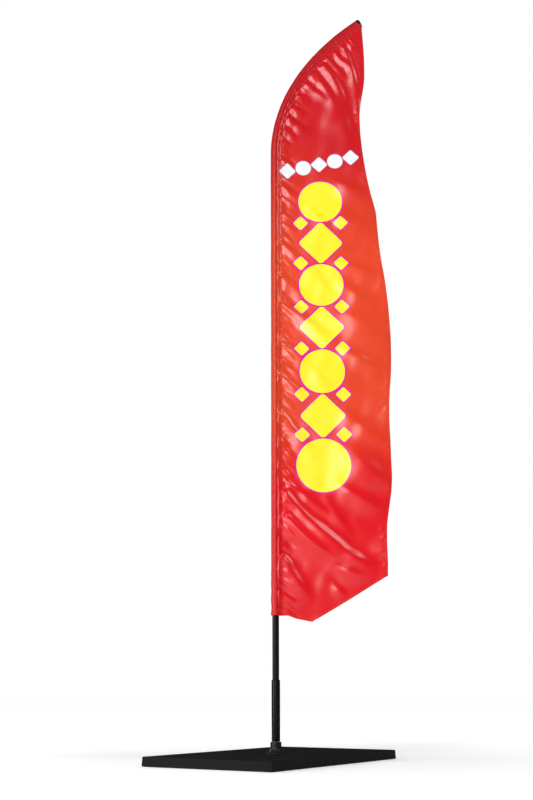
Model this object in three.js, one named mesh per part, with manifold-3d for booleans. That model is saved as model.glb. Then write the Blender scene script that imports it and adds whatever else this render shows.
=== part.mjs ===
// A feather flag on a pole that turns freely in a weighted base.
// Millimetres, +Z up. The origin is the centre of the base's underside, on the pole's axis.
// The flag lies in the XZ plane and flies towards +X; the base is turned under it.
import * as THREE from 'three';
import { mergeVertices } from 'three/addons/utils/BufferGeometryUtils.js';
import Module from 'manifold-3d';

const wasm = await Module();
wasm.setup();

// ---- Fits and facets ----
const FIT = 0.3;               // clearance between pieces that seat on or in each other
const ROUND = 24;              // sides of the larger round pieces
const SMALL_ROUND = 8;         // sides of screws and pins
const OVERCUT = 1;             // how far a cutting tool runs past the face that it cuts

// ---- Base ----
const BASE_LENGTH = 680;       // cover, long side at its top face
const BASE_WIDTH = 400;        // cover, short side at its top face
const BASE_TOP = 25;           // height of the cover's top face
const BASE_TURN = 58.2;        // degrees from the flag's plane to the long side
const BASE_CORNER = 5;         // radius of the cover's upright corners
const SKIRT_DRAFT = 2.65;      // degrees that the skirt leans out
const SKIRT_LIFT = 1;          // gap under the skirt, so that the mat carries the base
const COVER_WALL = 3;
const MAT_THICKNESS = 2;
const TRAY_THICKNESS = 2;
const SCREW_EDGE = 24;         // from the cover's edge to each cover screw's axis
const SCREW_RADIUS = 2;
const SCREW_HEAD_RADIUS = 4.5;
const SCREW_HEAD_HEIGHT = 1.6;
const SCREW_END_COVER = 3.7;   // from a cover screw's end up to the cover's ceiling
const PILLAR_RADIUS = 6;       // moulded pillar that each cover screw bites into

// ---- Spindle and its boss ----
const SHANK_CLEARANCE = 1.4;   // between the shank and the retaining ring round it
const FOOT_RADIUS = 45;
const FOOT_THICKNESS = 4;
const FOOT_SCREWS = 4;
const FOOT_SCREW_EDGE = 13;    // from the foot's rim to each foot screw's axis
const FOOT_SCREW_RADIUS = 2.5;
const FOOT_SCREW_HEAD_RADIUS = 4.5;
const FOOT_SCREW_END_COVER = 3; // slab left above a foot screw's end
const BOSS_HEIGHT = 29;        // above the cover
const BOSS_RECESS = 1;         // depth of the round seat in the cover that the boss stands in
const BOSS_LEDGE = 3.5;        // how far the boss's neck stands out past the rotor tube
const BOSS_NECK_HEIGHT = 12;   // straight upper part of the boss
const BOSS_FLARE = 16.5;       // how far its skirt spreads past the neck
const BOSS_CHAMFER = 1;
const SET_SCREW_RADIUS = 2;

// ---- Rotor ----
const ROTOR_WALL = 2.2;
const ROTOR_LENGTH = 165;
const ROTOR_RUNNING_GAP = 1;   // between the boss and the turning tube
const ROTOR_CHAMFER = 0.8;
const BEARING_BORE_SHARE = 0.51; // bearing's bore as a share of the rotor tube's
const BEARING_HEIGHT = 5;
const RING_SHARE = 0.31;       // share of the bearing's radial depth that each ring takes
const BEARING_SPAN = 50;       // from the lower bearing's foot to the upper one's
const BEARING_BALLS = 8;
const CAGE_WALL = 0.5;
const CAGE_HEIGHT = 1.6;
const CIRCLIP_INSET = 3;       // from the tube's foot up to the retaining ring
const CIRCLIP_THICKNESS = 1.2;
const CIRCLIP_REACH = 1.4;     // how far it stands into the bore
const CIRCLIP_BITE = 0.6;      // how far it sits into its groove
const CIRCLIP_GAP_HALF = 22;   // half the ring's opening, degrees
const WASHER_THICKNESS = 1;
const NUT_FLATS_RATIO = 1.625; // width across the nut's flats to the thread's diameter
const NUT_HEIGHT = 6.5;
const THREAD_STEP = 0.7;       // from the journal in to the thread
const THREAD_PROUD = 1.5;      // end of the thread above the nut
const PLUG_DISC = 8;           // solid top of the pole stop, which the pole stands on
const PIN_RADIUS = 2;

// ---- Pole ----
const INSERTION = 86.7;        // depth of the pole's foot in the rotor tube
const POLE_RADIUS = 9.5;       // outside of the foot section
const SECTION_WALLS = [1.8, 1.6, 1.5];  // of the three tubes, from the foot up
const SECTION_TOPS = [760, 1310, 1790]; // height of each tube's upper end
const SECTION_OVERLAP = 100;   // how far each section reaches down into the one below
const COLLAR_HEIGHT = 22;
const FOOT_CAP_FLANGE = 2;
const FOOT_CAP_SPIGOT = 14;
const BEND_START = 1835;       // height where the tip rod starts to bend
const BEND_LENGTH = 570;
const BEND_RADIUS_FOOT = 439;  // radius of the bend where it starts
const BEND_RADIUS_TIP = 960;   // and at the tip
const TIP_CAP_LENGTH = 10;
const TIP_CAP_SOCKET = 6;

// ---- Flag ----
const SLEEVE_SLACK = 1.9;      // between the foot section and the sleeve
const SLEEVE_WALL = 1.4;
const FLAG_WIDTH = 333;        // from the sleeve's seam to the free edge, at the widest
const SLEEVE_FOOT = 398;       // height of the sleeve's open lower end
const CLOTH = 1.2;             // thickness of the flag's single layer
const HEM_CLOTH = 1.8;         // thickness of a folded hem
const HEM_WIDTH = 9;
const TOP_MARGIN = 8;          // from the sleeve's upper end down to the panel's top
const CORNER_RISE = 113;       // rise of the lower edge from the sleeve to the free corner
const LOWER_POINT = 0.3;       // where the lower edge hangs lowest, as a share of its width
const LOWER_DROP = 20;         // and how far below the sleeve's end that is
const RIPPLE = 7;              // height of the soft waves at the free edge
const RIPPLE_PITCH = 430;      // from one wave to the next
const RIPPLE_SLANT = 0.6;      // how steeply the waves fall away from the pole
const CLOTH_ROWS = 38;
const SLEEVE_STEPS = 36;
const SLEEVE_SIDES = 12;
const ROD_STEPS = 30;
const ROD_SIDES = 8;

// Width of the panel at even steps from the free corner up to the tip, as shares of FLAG_WIDTH.
const WIDTH_SHARES = [0.922, 0.925, 0.982, 0.973, 1, 0.997, 0.928, 0.856, 0.787, 0.733, 0.532, 0.033];

// ---- Finishes ----
const finish = (color, roughness, metalness) => ({ color, roughness, metalness });
const BLACK_COVER = finish(0x1b1c1e, 0.6, 0.0);
const BLACK_COAT = finish(0x17181a, 0.45, 0.2);
const BLACK_RUBBER = finish(0x121212, 0.9, 0.0);
const GREY_CAST = finish(0x8b8a86, 0.95, 0.0);
const ZINC = finish(0xb7babd, 0.35, 0.9);
const BRIGHT_STEEL = finish(0xc4c7ca, 0.22, 1.0);
const BLACK_PLASTIC = finish(0x151517, 0.5, 0.0);
const BLACK_ALLOY = finish(0x141516, 0.4, 0.5);
const GLASS_FIBRE = finish(0x1d1e1f, 0.35, 0.0);
const RED_CLOTH = finish(0xdb2120, 0.5, 0.0);
const ORANGE_CLOTH = finish(0xe2492b, 0.5, 0.0);

// ---- Derived places ----
const radians = THREE.MathUtils.degToRad;
const trayFoot = MAT_THICKNESS + FIT;
const trayTop = trayFoot + TRAY_THICKNESS;
const slabFoot = trayTop + FIT;
const coverCeiling = BASE_TOP - COVER_WALL;
const slabTop = coverCeiling - FIT;
const footTop = slabFoot + FOOT_THICKNESS;
const footScrewCircle = FOOT_RADIUS - FOOT_SCREW_EDGE;
const skirtSpread = Math.tan(radians(SKIRT_DRAFT)) * (BASE_TOP - SKIRT_LIFT);
const coverScrewTop = coverCeiling - SCREW_END_COVER;
const footScrewTop = slabTop - FOOT_SCREW_END_COVER;
const rotorBore = POLE_RADIUS + FIT;
const rotorRadius = rotorBore + ROTOR_WALL;
const shankRadius = rotorBore - CIRCLIP_REACH - SHANK_CLEARANCE;
const bossNeck = rotorRadius + BOSS_LEDGE;
const bossSkirt = bossNeck + BOSS_FLARE;
const bossSeatTop = BASE_TOP - BOSS_RECESS;
const bossTop = BASE_TOP + FIT + BOSS_HEIGHT;
const rotorFoot = bossTop + ROTOR_RUNNING_GAP;
const rotorTop = rotorFoot + ROTOR_LENGTH;
const circlipFoot = rotorFoot + CIRCLIP_INSET;
const lowerBearing = circlipFoot + CIRCLIP_THICKNESS + FIT;
const upperBearing = lowerBearing + BEARING_SPAN;
const bearingRadius = rotorBore - FIT;
const bearingBore = rotorBore * BEARING_BORE_SHARE;
const ringWall = (bearingRadius - bearingBore) * RING_SHARE;
const journalRadius = bearingBore - FIT;
const threadRadius = journalRadius - THREAD_STEP;
const washerFoot = upperBearing + BEARING_HEIGHT + FIT;
const nutFoot = washerFoot + WASHER_THICKNESS + FIT;
const threadTop = nutFoot + NUT_HEIGHT + THREAD_PROUD;
const poleFoot = rotorTop - INSERTION;
const plugTop = poleFoot - FIT;
const plugUnderside = plugTop - PLUG_DISC;
const sectionRadii = SECTION_WALLS.reduce(
  (radii, wall) => [...radii, radii[radii.length - 1] - wall - FIT], [POLE_RADIUS]);
const rodRadius = sectionRadii[SECTION_WALLS.length];
const sleeveRadius = POLE_RADIUS + SLEEVE_SLACK + SLEEVE_WALL;
const sectionFoots = [poleFoot + FOOT_CAP_FLANGE + FIT,
  SECTION_TOPS[0] - SECTION_OVERLAP, SECTION_TOPS[1] - SECTION_OVERLAP];
const rodFoot = SECTION_TOPS[2] - SECTION_OVERLAP;
const sleeveEnd = BEND_LENGTH - TIP_CAP_LENGTH - FIT;   // measured along the bend
const rodEnd = BEND_LENGTH - TIP_CAP_LENGTH + TIP_CAP_SOCKET - FIT;
const sleeveStep = (sleeveEnd + BEND_START - SLEEVE_FOOT) / SLEEVE_STEPS;
const sleeveSag = sleeveStep ** 2 / (8 * Math.min(BEND_RADIUS_FOOT, BEND_RADIUS_TIP));
const seamOffset = sleeveRadius + sleeveSag + FIT;     // clears the sleeve's flat facets

// ---- Solids ----
function weld(geometry) {
  for (const name of Object.keys(geometry.attributes)) {
    if (name !== 'position') geometry.deleteAttribute(name);
  }
  const welded = mergeVertices(geometry, 1e-4);
  const corners = welded.index.array;
  const kept = [];
  for (let i = 0; i < corners.length; i += 3) {
    const [a, b, c] = corners.slice(i, i + 3);
    if (a !== b && b !== c && c !== a) kept.push(a, b, c);
  }
  welded.setIndex(kept);
  return faceOutwards(welded);
}

function faceOutwards(geometry) {
  const position = geometry.attributes.position;
  const index = geometry.index.array;
  const [a, b, c] = [new THREE.Vector3(), new THREE.Vector3(), new THREE.Vector3()];
  let volume = 0;
  for (let i = 0; i < index.length; i += 3) {
    a.fromBufferAttribute(position, index[i]);
    b.fromBufferAttribute(position, index[i + 1]);
    c.fromBufferAttribute(position, index[i + 2]);
    volume += a.dot(b.cross(c));
  }
  if (volume < 0) {
    for (let i = 0; i < index.length; i += 3) {
      [index[i + 1], index[i + 2]] = [index[i + 2], index[i + 1]];
    }
  }
  return geometry;
}

function toSolid(geometry) {
  const mesh = new wasm.Mesh({
    numProp: 3,
    vertProperties: new Float32Array(geometry.attributes.position.array),
    triVerts: new Uint32Array(geometry.index.array),
  });
  return new wasm.Manifold(mesh);
}

function fromSolid(solid) {
  const mesh = solid.getMesh();
  const geometry = new THREE.BufferGeometry();
  geometry.setAttribute('position', new THREE.BufferAttribute(mesh.vertProperties, 3));
  geometry.setIndex(new THREE.BufferAttribute(mesh.triVerts, 1));
  return geometry;
}

function cut(geometry, ...tools) {
  let solid = toSolid(geometry);
  for (const tool of tools) solid = solid.subtract(toSolid(tool));
  return fromSolid(solid);
}

function join(geometry, ...others) {
  let solid = toSolid(geometry);
  for (const other of others) solid = solid.add(toSolid(other));
  return fromSolid(solid);
}

// A turned piece about Z. The profile lists [radius, height] points.
function turned(profile, sides = ROUND) {
  const points = profile.map(([radius, height]) => new THREE.Vector2(radius, height));
  return weld(new THREE.LatheGeometry(points, sides).rotateX(Math.PI / 2));
}

function tube(outer, inner, foot, top, sides = ROUND) {
  return turned([[inner, foot], [outer, foot], [outer, top], [inner, top], [inner, foot]], sides);
}

function rod(radius, foot, top, sides = ROUND) {
  return turned([[0, foot], [radius, foot], [radius, top], [0, top]], sides);
}

function roundedRectangle(length, width, radius) {
  const [x, y] = [length / 2 - radius, width / 2 - radius];
  const shape = new THREE.Shape();
  shape.absarc(x, y, radius, 0, Math.PI / 2);
  shape.absarc(-x, y, radius, Math.PI / 2, Math.PI);
  shape.absarc(-x, -y, radius, Math.PI, 1.5 * Math.PI);
  shape.absarc(x, -y, radius, 1.5 * Math.PI, 2 * Math.PI);
  return shape;
}

function circle(x, y, radius, sides = ROUND) {
  const whole = new THREE.Path().absarc(x, y, radius, 0, 2 * Math.PI);
  return new THREE.Path(whole.getSpacedPoints(sides).slice(0, sides));
}

function plate(shape, foot, top, curveSegments = 2) {
  const options = { depth: top - foot, bevelEnabled: false, curveSegments };
  return weld(new THREE.ExtrudeGeometry(shape, options).translate(0, 0, foot));
}

// A plate whose upper face is smaller than its foot by `spread` on every side.
function draftedPlate(length, width, corner, spread, foot, top) {
  const geometry = plate(roundedRectangle(length, width, corner), foot, top);
  const position = geometry.attributes.position;
  const middle = (foot + top) / 2;
  for (let i = 0; i < position.count; i += 1) {
    if (position.getZ(i) > middle) {
      position.setX(i, position.getX(i) * (1 - 2 * spread / length));
      position.setY(i, position.getY(i) * (1 - 2 * spread / width));
    }
  }
  return geometry;
}

// ---- Assembly ----
const group = new THREE.Group();
const base = new THREE.Group();
base.rotation.z = radians(BASE_TURN);
group.add(base);

function addPiece(parent, name, geometry, { color, roughness, metalness }) {
  const material = new THREE.MeshStandardMaterial({ color, roughness, metalness, flatShading: true });
  const mesh = new THREE.Mesh(geometry, material);
  mesh.name = name;
  parent.add(mesh);
}

// ---- Base pieces ----
// Three cover screws stand along each long side.
const coverScrewPlaces = [-1, 1].flatMap((side) => [-1, 0, 1].map((step) => [
  step * (BASE_LENGTH / 2 - SCREW_EDGE),
  side * (BASE_WIDTH / 2 - SCREW_EDGE),
]));

function insetPlate(inset, foot, top, holes) {
  const shape = roundedRectangle(BASE_LENGTH - 2 * inset, BASE_WIDTH - 2 * inset, BASE_CORNER);
  shape.holes.push(...holes.map(([x, y, radius]) => circle(x, y, radius)));
  return plate(shape, foot, top);
}

function antiSlipMat() {
  const holes = coverScrewPlaces.map(([x, y]) => [x, y, SCREW_HEAD_RADIUS + 2 * FIT]);
  return insetPlate(COVER_WALL + 2 * FIT, 0, MAT_THICKNESS, holes);
}

function baseTray() {
  const holes = coverScrewPlaces.map(([x, y]) => [x, y, SCREW_RADIUS + FIT]);
  return insetPlate(COVER_WALL + FIT, trayFoot, trayTop, holes);
}

function ballastSlab() {
  const pillarHoles = coverScrewPlaces.map(([x, y]) => [x, y, PILLAR_RADIUS + 2 * FIT]);
  const holes = [[0, 0, shankRadius + FIT], ...pillarHoles];
  const slab = insetPlate(COVER_WALL + 2 * FIT, slabFoot, slabTop, holes);
  const recess = rod(FOOT_RADIUS + FIT, slabFoot - OVERCUT, footTop + FIT);
  return cut(slab, recess, ...footScrewTools(FIT));
}

function baseCover() {
  const length = BASE_LENGTH + 2 * skirtSpread;
  const width = BASE_WIDTH + 2 * skirtSpread;
  const outside = draftedPlate(length, width, BASE_CORNER, skirtSpread, SKIRT_LIFT, BASE_TOP);
  const inside = plate(
    roundedRectangle(BASE_LENGTH - 2 * COVER_WALL, BASE_WIDTH - 2 * COVER_WALL, BASE_CORNER / 2),
    SKIRT_LIFT - OVERCUT, coverCeiling);
  const pillars = coverScrewPlaces.map(([x, y]) => (
    rod(PILLAR_RADIUS, slabFoot, coverCeiling + OVERCUT, SMALL_ROUND).translate(x, y, 0)));
  const pilots = coverScrewPlaces.map(([x, y]) => (
    rod(SCREW_RADIUS + FIT, 0, coverScrewTop + FIT, SMALL_ROUND).translate(x, y, 0)));
  const shankHole = rod(shankRadius + FIT, 0, BASE_TOP + OVERCUT);
  const bossSeat = rod(bossSkirt + FIT, bossSeatTop, BASE_TOP + OVERCUT);
  return cut(join(cut(outside, inside), ...pillars), shankHole, bossSeat, ...pilots);
}

// Pan-head screw, driven up from below, with its head under the tray.
function coverScrew() {
  const headTop = trayFoot - FIT / 2;
  const headFoot = headTop - SCREW_HEAD_HEIGHT;
  return turned([
    [0, headFoot], [SCREW_HEAD_RADIUS, headFoot], [SCREW_HEAD_RADIUS, headTop],
    [SCREW_RADIUS, headTop], [SCREW_RADIUS, coverScrewTop], [0, coverScrewTop],
  ], SMALL_ROUND);
}

// ---- Spindle pieces ----
const footScrewPlaces = Array.from({ length: FOOT_SCREWS }, (_, i) => {
  const angle = (i + 0.5) * 2 * Math.PI / FOOT_SCREWS;
  return [footScrewCircle * Math.cos(angle), footScrewCircle * Math.sin(angle)];
});

// Countersunk screw through the spindle's foot into the slab, grown by `margin` all round.
function footScrew(margin = 0) {
  const head = FOOT_SCREW_HEAD_RADIUS + margin;
  const shank = FOOT_SCREW_RADIUS + margin;
  const cone = head - shank;
  const top = footScrewTop + margin;
  const foot = slabFoot + FIT - (margin > 0 ? OVERCUT : 0);
  return turned([
    [0, foot], [head, foot], [head, slabFoot + FIT], [shank, slabFoot + FIT + cone],
    [shank, top], [0, top],
  ], SMALL_ROUND);
}

function footScrewTools(margin) {
  return footScrewPlaces.map(([x, y]) => footScrew(margin).translate(x, y, 0));
}

function spindle() {
  const shoulder = lowerBearing - FIT;
  const shaft = turned([
    [0, slabFoot], [FOOT_RADIUS, slabFoot], [FOOT_RADIUS, footTop], [shankRadius, footTop],
    [shankRadius, shoulder], [journalRadius, shoulder], [journalRadius, washerFoot],
    [threadRadius, washerFoot], [threadRadius, threadTop], [0, threadTop],
  ]);
  return cut(shaft, ...footScrewTools(FIT));
}

const setScrewHeight = bossTop - BOSS_NECK_HEIGHT / 2;

function spindleBoss() {
  const foot = bossSeatTop + FIT;
  const rim = BASE_TOP + FIT + BOSS_CHAMFER;
  const neckFoot = bossTop - BOSS_NECK_HEIGHT;
  const bore = shankRadius + FIT;
  const fillet = new THREE.QuadraticBezierCurve(
    new THREE.Vector2(bossSkirt, rim),
    new THREE.Vector2(bossNeck, rim),
    new THREE.Vector2(bossNeck, neckFoot)).getPoints(6).map(({ x, y }) => [x, y]);
  const body = turned([
    [bore, foot], [bossSkirt, foot], ...fillet,
    [bossNeck, bossTop - BOSS_CHAMFER], [bossNeck - BOSS_CHAMFER, bossTop],
    [bore, bossTop], [bore, foot],
  ]);
  const screwHole = rod(SET_SCREW_RADIUS + FIT, 0, bossNeck + OVERCUT, SMALL_ROUND);
  return cut(body, screwHole.rotateX(-Math.PI / 2).translate(0, 0, setScrewHeight));
}

// Grub screw in the back of the boss, bearing on the shank.
function bossSetScrew() {
  const screw = rod(SET_SCREW_RADIUS, shankRadius + FIT, bossNeck - BOSS_CHAMFER, SMALL_ROUND);
  return screw.rotateX(-Math.PI / 2).translate(0, 0, setScrewHeight);
}

function clampWasher() {
  return tube(bearingBore + ringWall, threadRadius + FIT, washerFoot + FIT, nutFoot - FIT);
}

function clampNut() {
  const corner = 2 * threadRadius * NUT_FLATS_RATIO / Math.sqrt(3);
  const hexagon = rod(corner, nutFoot, nutFoot + NUT_HEIGHT, 6);
  return cut(hexagon, rod(threadRadius + FIT, nutFoot - OVERCUT, nutFoot + NUT_HEIGHT + OVERCUT));
}

// ---- Bearings ----
function innerRing(foot) {
  return tube(bearingBore + ringWall, bearingBore, foot, foot + BEARING_HEIGHT);
}

function outerRing(foot) {
  return tube(bearingRadius, bearingRadius - ringWall, foot, foot + BEARING_HEIGHT);
}

// Balls held in their cage, as one solid, running between the two rings.
function ballCage(foot) {
  const track = (bearingBore + bearingRadius) / 2;
  const room = bearingRadius - bearingBore - 2 * ringWall;
  const ballRadius = room / 2 - FIT;
  const middle = foot + BEARING_HEIGHT / 2;
  const cage = tube(track + CAGE_WALL / 2, track - CAGE_WALL / 2,
    middle - CAGE_HEIGHT / 2, middle + CAGE_HEIGHT / 2);
  const balls = Array.from({ length: BEARING_BALLS }, (_, i) => {
    const angle = i * 2 * Math.PI / BEARING_BALLS;
    return weld(new THREE.SphereGeometry(ballRadius, 6, 4)
      .translate(track * Math.cos(angle), track * Math.sin(angle), middle));
  });
  return join(cage, ...balls);
}

function spacer(outer, inner) {
  return tube(outer, inner, lowerBearing + BEARING_HEIGHT + FIT, upperBearing - FIT);
}

// ---- Rotor pieces ----
const pinHeight = plugTop - PLUG_DISC / 2;

function crossPin(radius, halfLength) {
  return rod(radius, -halfLength, halfLength, SMALL_ROUND)
    .rotateY(Math.PI / 2).translate(0, 0, pinHeight);
}

function rotorTube() {
  const grooveRadius = rotorBore + CIRCLIP_BITE + FIT;
  const body = turned([
    [rotorBore, rotorFoot], [rotorRadius - ROTOR_CHAMFER, rotorFoot],
    [rotorRadius, rotorFoot + ROTOR_CHAMFER], [rotorRadius, rotorTop - ROTOR_CHAMFER],
    [rotorRadius - ROTOR_CHAMFER, rotorTop], [rotorBore, rotorTop],
    [rotorBore, circlipFoot + CIRCLIP_THICKNESS + FIT],
    [grooveRadius, circlipFoot + CIRCLIP_THICKNESS + FIT], [grooveRadius, circlipFoot - FIT],
    [rotorBore, circlipFoot - FIT], [rotorBore, rotorFoot],
  ]);
  return cut(body, crossPin(PIN_RADIUS + FIT, rotorRadius + OVERCUT));
}

function retainingRing() {
  const outer = rotorBore + CIRCLIP_BITE;
  const inner = rotorBore - CIRCLIP_REACH;
  const [from, to] = [radians(CIRCLIP_GAP_HALF), radians(360 - CIRCLIP_GAP_HALF)];
  const shape = new THREE.Shape();
  shape.absarc(0, 0, outer, from, to, false);
  shape.absarc(0, 0, inner, to, from, true);
  return plate(shape, circlipFoot, circlipFoot + CIRCLIP_THICKNESS, ROUND / 2);
}

// Cup that keeps the upper bearing down and gives the pole a floor to stand on.
function poleStopPlug() {
  const skirtInner = bearingRadius - ringWall;
  const foot = upperBearing + BEARING_HEIGHT + FIT;
  const body = turned([
    [skirtInner, foot], [bearingRadius, foot], [bearingRadius, plugTop], [0, plugTop],
    [0, plugUnderside], [skirtInner, plugUnderside], [skirtInner, foot],
  ]);
  return cut(body, crossPin(PIN_RADIUS + FIT, rotorRadius + OVERCUT));
}

// ---- Pole pieces ----
function poleFootCap() {
  const spigot = sectionRadii[0] - SECTION_WALLS[0] - FIT;
  const flangeTop = poleFoot + FOOT_CAP_FLANGE;
  return turned([
    [0, poleFoot], [sectionRadii[0], poleFoot], [sectionRadii[0], flangeTop],
    [spigot, flangeTop], [spigot, flangeTop + FOOT_CAP_SPIGOT], [0, flangeTop + FOOT_CAP_SPIGOT],
  ]);
}

function poleSection(i) {
  return tube(sectionRadii[i], sectionRadii[i] - SECTION_WALLS[i], sectionFoots[i], SECTION_TOPS[i]);
}

// Collar fixed on the section above, which seats on the rim of the tube below.
function jointCollar(i) {
  const inner = sectionRadii[i + 1];
  const foot = SECTION_TOPS[i] + FIT;
  return tube(sectionRadii[i], inner + FIT, foot, foot + COLLAR_HEIGHT);
}

// Centreline of the pole: straight up to the bend, whose curvature eases evenly to the tip.
class PoleLine extends THREE.Curve {
  constructor(from, to) {
    super();
    this.from = from;
    this.to = to;
  }

  heading(s) {
    if (s <= 0) return 0;
    const [k0, k1] = [1 / BEND_RADIUS_FOOT, 1 / BEND_RADIUS_TIP];
    return k0 * s + (k1 - k0) * s * s / (2 * BEND_LENGTH);
  }

  place(s) {
    if (s <= 0) return new THREE.Vector3(0, 0, BEND_START + s);
    const steps = 60;
    const place = new THREE.Vector3(0, 0, BEND_START);
    for (let i = 0; i < steps; i += 1) {
      const heading = this.heading((i + 0.5) * s / steps);
      place.x += Math.sin(heading) * s / steps;
      place.z += Math.cos(heading) * s / steps;
    }
    return place;
  }

  // Point at a distance from the centreline, on the side that faces the flag.
  flagSide(s, distance) {
    const heading = this.heading(s);
    const side = new THREE.Vector3(Math.cos(heading), 0, -Math.sin(heading));
    return this.place(s).addScaledVector(side, distance);
  }

  getPoint(t, target = new THREE.Vector3()) {
    return target.copy(this.place(this.from + (this.to - this.from) * t));
  }
}

// A round section swept along the pole's centreline, hollow if it has an inner radius.
function swept(outer, inner, from, to, steps, sides) {
  const shape = new THREE.Shape(circle(0, 0, outer, sides).getPoints());
  if (inner > 0) shape.holes.push(circle(0, 0, inner, sides));
  const options = { steps, bevelEnabled: false, extrudePath: new PoleLine(from, to) };
  return weld(new THREE.ExtrudeGeometry(shape, options));
}

function tipRod() {
  return swept(rodRadius, 0, rodFoot - BEND_START, rodEnd, ROD_STEPS, ROD_SIDES);
}

function tipCap() {
  const from = BEND_LENGTH - TIP_CAP_LENGTH;
  const cap = swept(sleeveRadius, 0, from, BEND_LENGTH, 2, SLEEVE_SIDES);
  return cut(cap, swept(rodRadius + FIT, 0, from - OVERCUT, from + TIP_CAP_SOCKET, 2, ROD_SIDES));
}

// ---- Flag pieces ----
function poleSleeve() {
  return swept(sleeveRadius, sleeveRadius - SLEEVE_WALL, SLEEVE_FOOT - BEND_START, sleeveEnd,
    SLEEVE_STEPS, SLEEVE_SIDES);
}

// The line where the panel meets the sleeve, from the sleeve's foot to its upper end.
const seamLine = (() => {
  const line = new PoleLine(SLEEVE_FOOT - BEND_START, sleeveEnd);
  const steps = 200;
  return Array.from({ length: steps + 1 }, (_, i) => (
    line.flagSide(line.from + (line.to - line.from) * i / steps, seamOffset)));
})();

function seamX(z) {
  const above = seamLine.findIndex((point) => point.z > z);
  if (above <= 0) return seamLine[above < 0 ? seamLine.length - 1 : 0].x;
  const [a, b] = [seamLine[above - 1], seamLine[above]];
  return THREE.MathUtils.mapLinear(z, a.z, b.z, a.x, b.x);
}

const panelTop = seamLine[seamLine.length - 1].z - TOP_MARGIN;
const freeCorner = SLEEVE_FOOT + CORNER_RISE;
const widths = new THREE.SplineCurve(WIDTH_SHARES.map((share, i) => (
  new THREE.Vector2(share * FLAG_WIDTH, i / (WIDTH_SHARES.length - 1)))));

function freeX(z) {
  const share = THREE.MathUtils.clamp((z - freeCorner) / (panelTop - freeCorner), 0, 1);
  return seamX(z) + widths.getPoint(share).x;
}

// Lower edge: down to its lowest point, then straight up to the free corner.
function lowerEdge(across) {
  if (across < LOWER_POINT) return SLEEVE_FOOT - LOWER_DROP * across / LOWER_POINT;
  const lowest = SLEEVE_FOOT - LOWER_DROP;
  return THREE.MathUtils.mapLinear(across, LOWER_POINT, 1, lowest, freeCorner);
}

// Height of the flag's middle surface point, and its place across from seam to free edge.
function clothPoint(across, up, target) {
  const z = THREE.MathUtils.lerp(lowerEdge(across), panelTop, up);
  const x = THREE.MathUtils.lerp(seamX(z), freeX(z), across);
  const loose = across * across * (1 - up) ** 0.5;
  const y = RIPPLE * loose * Math.sin(2 * Math.PI * (z - RIPPLE_SLANT * x) / RIPPLE_PITCH);
  return target.set(x, y, z);
}

// Even steps from one share to another, both ends included.
function steps(from, to, count) {
  return Array.from({ length: count + 1 }, (_, i) => THREE.MathUtils.lerp(from, to, i / count));
}

// A thin closed solid on the flag's surface, with its corners at the given shares.
function clothSheet(acrosses, ups, thickness) {
  const positions = [];
  const point = new THREE.Vector3();
  const [columns, rows] = [acrosses.length - 1, ups.length - 1];
  const stride = columns + 1;
  const layer = stride * (rows + 1);
  for (const side of [-1, 1]) {
    for (const up of ups) {
      for (const across of acrosses) {
        clothPoint(across, up, point);
        positions.push(point.x, point.y + side * thickness / 2, point.z);
      }
    }
  }
  const index = [];
  const quad = (a, b, c, d) => index.push(a, b, c, a, c, d);
  for (let j = 0; j < rows; j += 1) {
    for (let i = 0; i < columns; i += 1) {
      const a = j * stride + i;
      quad(a, a + 1, a + 1 + stride, a + stride);
      quad(layer + a + stride, layer + a + 1 + stride, layer + a + 1, layer + a);
    }
  }
  for (let i = 0; i < columns; i += 1) {
    const last = rows * stride + i;
    quad(layer + i, layer + i + 1, i + 1, i);
    quad(last, last + 1, layer + last + 1, layer + last);
  }
  for (let j = 0; j < rows; j += 1) {
    const [near, far] = [j * stride, j * stride + columns];
    quad(near, near + stride, layer + near + stride, layer + near);
    quad(far + stride, far, layer + far, layer + far + stride);
  }
  const geometry = new THREE.BufferGeometry();
  geometry.setAttribute('position', new THREE.Float32BufferAttribute(positions, 3));
  geometry.setIndex(index);
  return faceOutwards(geometry);
}

// The hems lie along the panel's free and lower edges, a fitting gap away from it.
const panelWidth = WIDTH_SHARES[0] * FLAG_WIDTH;
const panelHeight = panelTop - SLEEVE_FOOT;
const hemAcross = 1 - HEM_WIDTH / panelWidth;
const hemUp = HEM_WIDTH / panelHeight;
const panelAcross = hemAcross - 2 * FIT / panelWidth;
const panelUp = hemUp + 2 * FIT / panelHeight;
const panelAcrosses = [...steps(0, LOWER_POINT, 2), ...steps(LOWER_POINT, panelAcross, 4).slice(1)];
const panelUps = steps(panelUp, 1, CLOTH_ROWS);

function flagPanel() {
  return clothSheet(panelAcrosses, panelUps, CLOTH);
}

function trailingHem() {
  return clothSheet([hemAcross, 1], panelUps, HEM_CLOTH);
}

function lowerHem() {
  return clothSheet([...panelAcrosses, 1], [0, hemUp], HEM_CLOTH);
}

// ---- Putting it together ----
addPiece(base, 'anti_slip_mat', antiSlipMat(), BLACK_RUBBER);
addPiece(base, 'base_tray', baseTray(), ZINC);
addPiece(base, 'ballast_slab', ballastSlab(), GREY_CAST);
addPiece(base, 'base_cover', baseCover(), BLACK_COVER);
coverScrewPlaces.forEach(([x, y], i) => {
  addPiece(base, `cover_screw_${i + 1}`, coverScrew().translate(x, y, 0), ZINC);
});

addPiece(base, 'spindle', spindle(), ZINC);
footScrewPlaces.forEach(([x, y], i) => {
  addPiece(base, `foot_screw_${i + 1}`, footScrew().translate(x, y, 0), ZINC);
});
addPiece(group, 'spindle_boss', spindleBoss(), BLACK_PLASTIC);
addPiece(group, 'boss_set_screw', bossSetScrew(), BLACK_COAT);

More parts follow.
